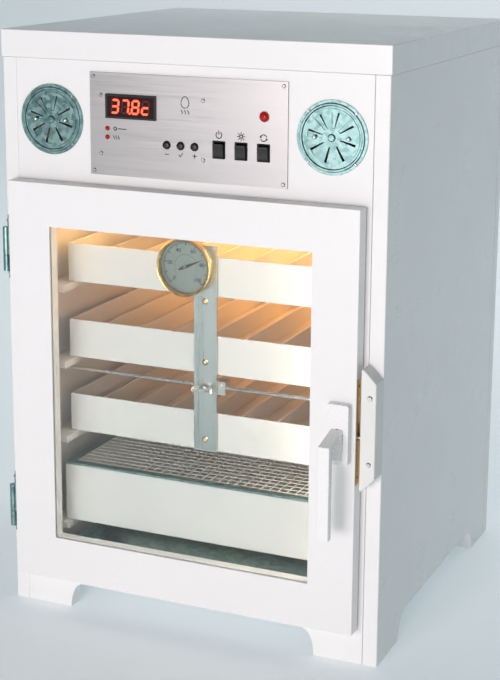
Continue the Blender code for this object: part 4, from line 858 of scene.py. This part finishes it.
make_piece("hygrometer_dial", disc(inner - 0.7 * MM, dial_y - 0.5 * MM, dial_y - 0.1 * MM), dial_face,
           "turning_bar")
make_piece("hygrometer_pane", disc(inner - 1.3 * MM, front + 1.7 * MM, front + 2.5 * MM), glass,
           "turning_bar", ["hygrometer_glass"])
print("rim, dial and pane spun")

# %% Draw the scale and its numbers
HUNDRED, ZERO = -45, 225  # degrees anticlockwise from three o'clock
scale_y = dial_y - 0.62 * MM
centre = [(gauge[0], scale_y, gauge[1])]
dark = {"facing": FRONT, "finish": ink, "first": radians(HUNDRED), "sweep": radians(ZERO - HUNDRED)}
grow("dial_fine_ticks", ring_tree, centre, "turning_bar", "black_plastic", count=51, radius=31.5 * MM,
     block=(2.2 * MM, 0.55 * MM, 0.12 * MM), **dark)
grow("dial_long_ticks", ring_tree, centre, "turning_bar", "black_plastic", count=11, radius=30.4 * MM,
     block=(4.4 * MM, 1.10 * MM, 0.14 * MM), **dark)
arcs = bmesh.new()
for radius, steps, width in ((32.8 * MM, 60, 0.5 * MM), (16.5 * MM, 40, 0.3 * MM)):
    draw(arc(gauge, radius, HUNDRED, ZERO, steps), width, scale_y - 0.03 * MM, 0.1 * MM, arcs)
make_piece("dial_arcs", arcs, ink, "turning_bar")
numbers = bmesh.new()
for number in range(0, 101, 20):
    curve = bpy.data.curves.new("number", "FONT")
    curve.body = str(number)
    curve.size = 7.6 * MM
    curve.offset = 0.12 * MM
    curve.extrude = 0.05 * MM
    curve.resolution_u = 2
    curve.align_x = curve.align_y = "CENTER"
    holder = bpy.data.objects.new("number", curve)
    bpy.context.scene.collection.objects.link(holder)
    bpy.context.view_layer.update()
    mesh = bpy.data.meshes.new_from_object(holder)
    x, z = on_circle(gauge, 23.8 * MM, ZERO + (HUNDRED - ZERO) * number / 100)
    mesh.transform(Matrix.Translation((x, scale_y, z)) @ Matrix.Rotation(radians(90), 4, "X"))
    numbers.from_mesh(mesh)
    bpy.data.objects.remove(holder)
make_piece("dial_numbers", numbers, ink, "turning_bar")
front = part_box("hygrometer_needle")[0].y
hub = [(0, front - 1.2 * MM), (2.0 * MM, front - 1.1 * MM), (2.6 * MM, front - 0.6 * MM),
       (2.6 * MM, front - 0.05 * MM), (0, front - 0.05 * MM)]
make_piece("needle_hub", spin(hub, gauge, segments=32), brass, "hygrometer_needle")
print("dial finished")

# %% [markdown]
# ## The turning gear
#
# One aluminium bar moves all the trays' grids. A stud and a wing nut clamp it to the rod, a
# knurled coupling joins the rod's two halves, and brass eyelets show where the bar takes its pins.

# %% Make the wing nut, the coupling and the eyelets
# A wing is a row of six-sided sections: how far out, how far forward and half the height, in
# millimetres. A section's corners then say how much further out and forward, and the share of height.
WING = ((3.4, 4.0, 3.2), (7.0, 6.0, 3.0), (10.5, 9.0, 3.6), (13.4, 11.5, 4.2), (14.4, 13.0, 3.0),
        (14.0, 13.8, 1.2))
SECTION = ((0, 0.8, -1), (0.8, -0.4, -0.6), (0.9, -0.6, 0.6), (0, 0.8, 1), (-0.9, 1.6, 0.6),
           (-0.8, 1.4, -0.6))
stud = Vector((middle_of("turning_bar")[0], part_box("wing_nut")[1].y, middle_of("wing_nut")[1]))
body = [(2.9 * MM, stud.y), (6.0 * MM, stud.y), (6.0 * MM, stud.y - 2.2 * MM),
        (4.6 * MM, stud.y - 7.6 * MM), (4.0 * MM, stud.y - 8.0 * MM), (2.9 * MM, stud.y - 8.0 * MM)]
nut = spin_ring(body, (stud.x, stud.z), segments=32)
for side in (-1, 1):
    rows = [[nut.verts.new((stud.x + side * (reach + u) * MM, stud.y - (forward + v) * MM,
                            stud.z + w * height * MM)) for u, v, w in SECTION]
            for reach, forward, height in WING]
    bridge(nut, rows)
    nut.faces.new(rows[0])
    nut.faces.new(rows[-1])
make_piece("wing_nut_finished", nut, plated, "wing_nut", ["wing_nut"])
rod_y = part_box("egg_tray_bottom")[0].y + 7 * MM
grow("coupling_ribs", ring_tree, [(26 * MM, rod_y, stud.z)], "turning_rod", "bright_steel", count=22,
     radius=6.2 * MM, first=0.0, sweep=radians(343), block=(1.0 * MM, 0.9 * MM, 12 * MM), facing=RIGHT,
     finish=black_abs)
EYELETS = {"eyelet_low": 0.2586, "eyelet_middle": 0.3665, "eyelet_high": 0.4500}  # heights in metres
for name, height in EYELETS.items():
    ring = [(2.4 * MM, stud.y - 0.2 * MM), (3.2 * MM, stud.y - 0.7 * MM), (4.2 * MM, stud.y - 0.4 * MM),
            (4.4 * MM, stud.y + 0.25 * MM), (2.4 * MM, stud.y + 0.25 * MM)]
    make_piece(name, spin_ring(ring, (stud.x, height), segments=28), brass, "turning_bar")
    plug = [(0, stud.y + 0.1 * MM), (2.3 * MM, stud.y + 0.15 * MM), (2.3 * MM, stud.y + 0.28 * MM),
            (0, stud.y + 0.28 * MM)]
    make_piece(f"{name}_pin", spin(plug, (stud.x, height), segments=20), foam_sheet, "turning_bar")
print("turning gear made")

# %% [markdown]
# ## Floor, light and camera
#
# The stage is one pale sheet that curves up behind, so there is no horizon. It glows a little, as
# lit paper does, and gives the sides and the lid their soft grey. The key light is large, stands low
# in front and to the left of the camera, and makes the front white. Warm lights at each level of the
# chamber stand for the lamp's light that the white walls spread. Standard view shows white as white.

# %% Lay the stage
HALF, CURVE_START, CURVE, WALL_TOP = 25.0, 3.0, 1.5, 9.0  # CURVE is the bend's radius
stage_shape = bmesh.new()
profile = [(-HALF, 0.0), (CURVE_START, 0.0)]
profile += [(CURVE_START + CURVE * sin(radians(turn)), CURVE * (1 - cos(radians(turn))))
            for turn in range(10, 91, 10)]
profile += [(CURVE_START + CURVE, WALL_TOP)]
rows = [[stage_shape.verts.new((x, y, z - 0.5 * MM)) for x in (-HALF, HALF)] for y, z in profile]
for here, after in zip(rows, rows[1:]):
    stage_shape.faces.new((here[0], here[1], after[1], after[0]))
paper = make_finish("pale backdrop paper", ("#F4F4F3", "#F1F1F0"), (0.8, 0.9), 3.0, 0.01, cloud=600,
                    emission_color=linear("#D0E4EF"), emission_strength=0.26)
stage_mesh = bpy.data.meshes.new("backdrop")
stage_shape.to_mesh(stage_mesh)
stage_shape.free()
stage_mesh.materials.append(paper)
stage_mesh.shade_smooth()
backdrop = bpy.data.objects.new("backdrop", stage_mesh)
bpy.context.scene.collection.objects.link(backdrop)
backdrop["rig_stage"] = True
print("stage has", len(stage_mesh.polygons), "strips")


# %% Hang the lights
def hang_light(name, place, target, size, power, colour="#FFFFFF"):
    """A rectangular light that isn't seen itself; size is (width, height), and power is in watts."""
    light = bpy.data.lights.new(name, "AREA")
    light.shape = "RECTANGLE"
    light.size, light.size_y = size
    light.energy = power
    light.color = linear(colour)[:3]
    holder = bpy.data.objects.new(name, light)
    holder.location = place
    holder.rotation_euler = (Vector(target) - Vector(place)).to_track_quat("-Z", "Y").to_euler()
    holder.visible_camera = False
    bpy.context.scene.collection.objects.link(holder)


hang_light("key", (0.15, -3.4, 0.66), (0, -0.2, 0.42), (1.5, 0.9), 70, "#FFF6F8")
hang_light("backdrop wash", (0.6, 1.4, 2.8), (-1.0, 4.2, 0.4), (3.0, 0.6), 46)
AMBER, CREAM, IVORY, FLAME = "#FFA648", "#FFE6D2", "#FFF2E0", "#FFB060"
tray_low, tray_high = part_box("egg_tray_top")
hang_light("chamber lamp", (0.03, 0.06, tray_high.z + 0.05), (0.03, 0.06, 0), (0.24, 0.20), 0.8, FLAME)
front_gap = (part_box("front_frame")[1].y + tray_low.y) / 2
hang_light("glow off the right wall", (0.195, front_gap, 0.33), (-0.2, front_gap, 0.33), (0.02, 0.44),
           0.6, CREAM)
for level, power in (("top", 0.42), ("middle", 0.18), ("bottom", 0.02)):
    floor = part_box(f"egg_tray_{level}")[0].z
    hang_light(f"glow under the {level} tray", (0.0, tray_high.y - 0.02, floor - 0.012),
               (0.0, -0.2, floor - 0.05), (0.30, 0.015), power, AMBER)
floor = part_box("hatch_tray")[0].z
hang_light("glow over the pan", (0, -0.10, floor - 0.004), (0, -0.15, 0), (0.36, 0.10), 0.10, IVORY)
world = bpy.data.worlds.new("studio")
world.use_nodes = True
background = world.node_tree.nodes["Background"].inputs
background["Color"].default_value = linear("#C9DDE4")
background["Strength"].default_value = 0.20
bpy.context.scene.world = world
bpy.context.scene.view_settings.view_transform = "Standard"
print("studio lit")

# %% Set up the camera
# A long lens and a small shift keep the upright edges nearly parallel, as in a product picture.
yaw, pitch, roll = radians(-23.6), radians(12.78), radians(0.40)
forward = Vector((sin(yaw) * cos(pitch), cos(yaw) * cos(pitch), -sin(pitch)))
right = Vector((cos(yaw), -sin(yaw), 0))
up = right.cross(forward)
right, up = right * cos(roll) + up * sin(roll), up * cos(roll) - right * sin(roll)
lens_data = bpy.data.cameras.new("camera")
lens_data.sensor_width = 36.0
lens_data.lens = 85.2
lens_data.shift_x = -0.005
lens_data.shift_y = -0.100
camera = bpy.data.objects.new("camera", lens_data)
turn = Matrix((right, up, -forward)).transposed()
camera.matrix_world = Matrix.Translation((0.888, -2.040, 0.958)) @ turn.to_4x4()
bpy.context.scene.collection.objects.link(camera)
bpy.context.scene.camera = camera
print("camera at", [round(value, 3) for value in camera.location])

# %% Measure and finish
low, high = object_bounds()
print("visual box", [round(value, 4) for value in low], [round(value, 4) for value in high])
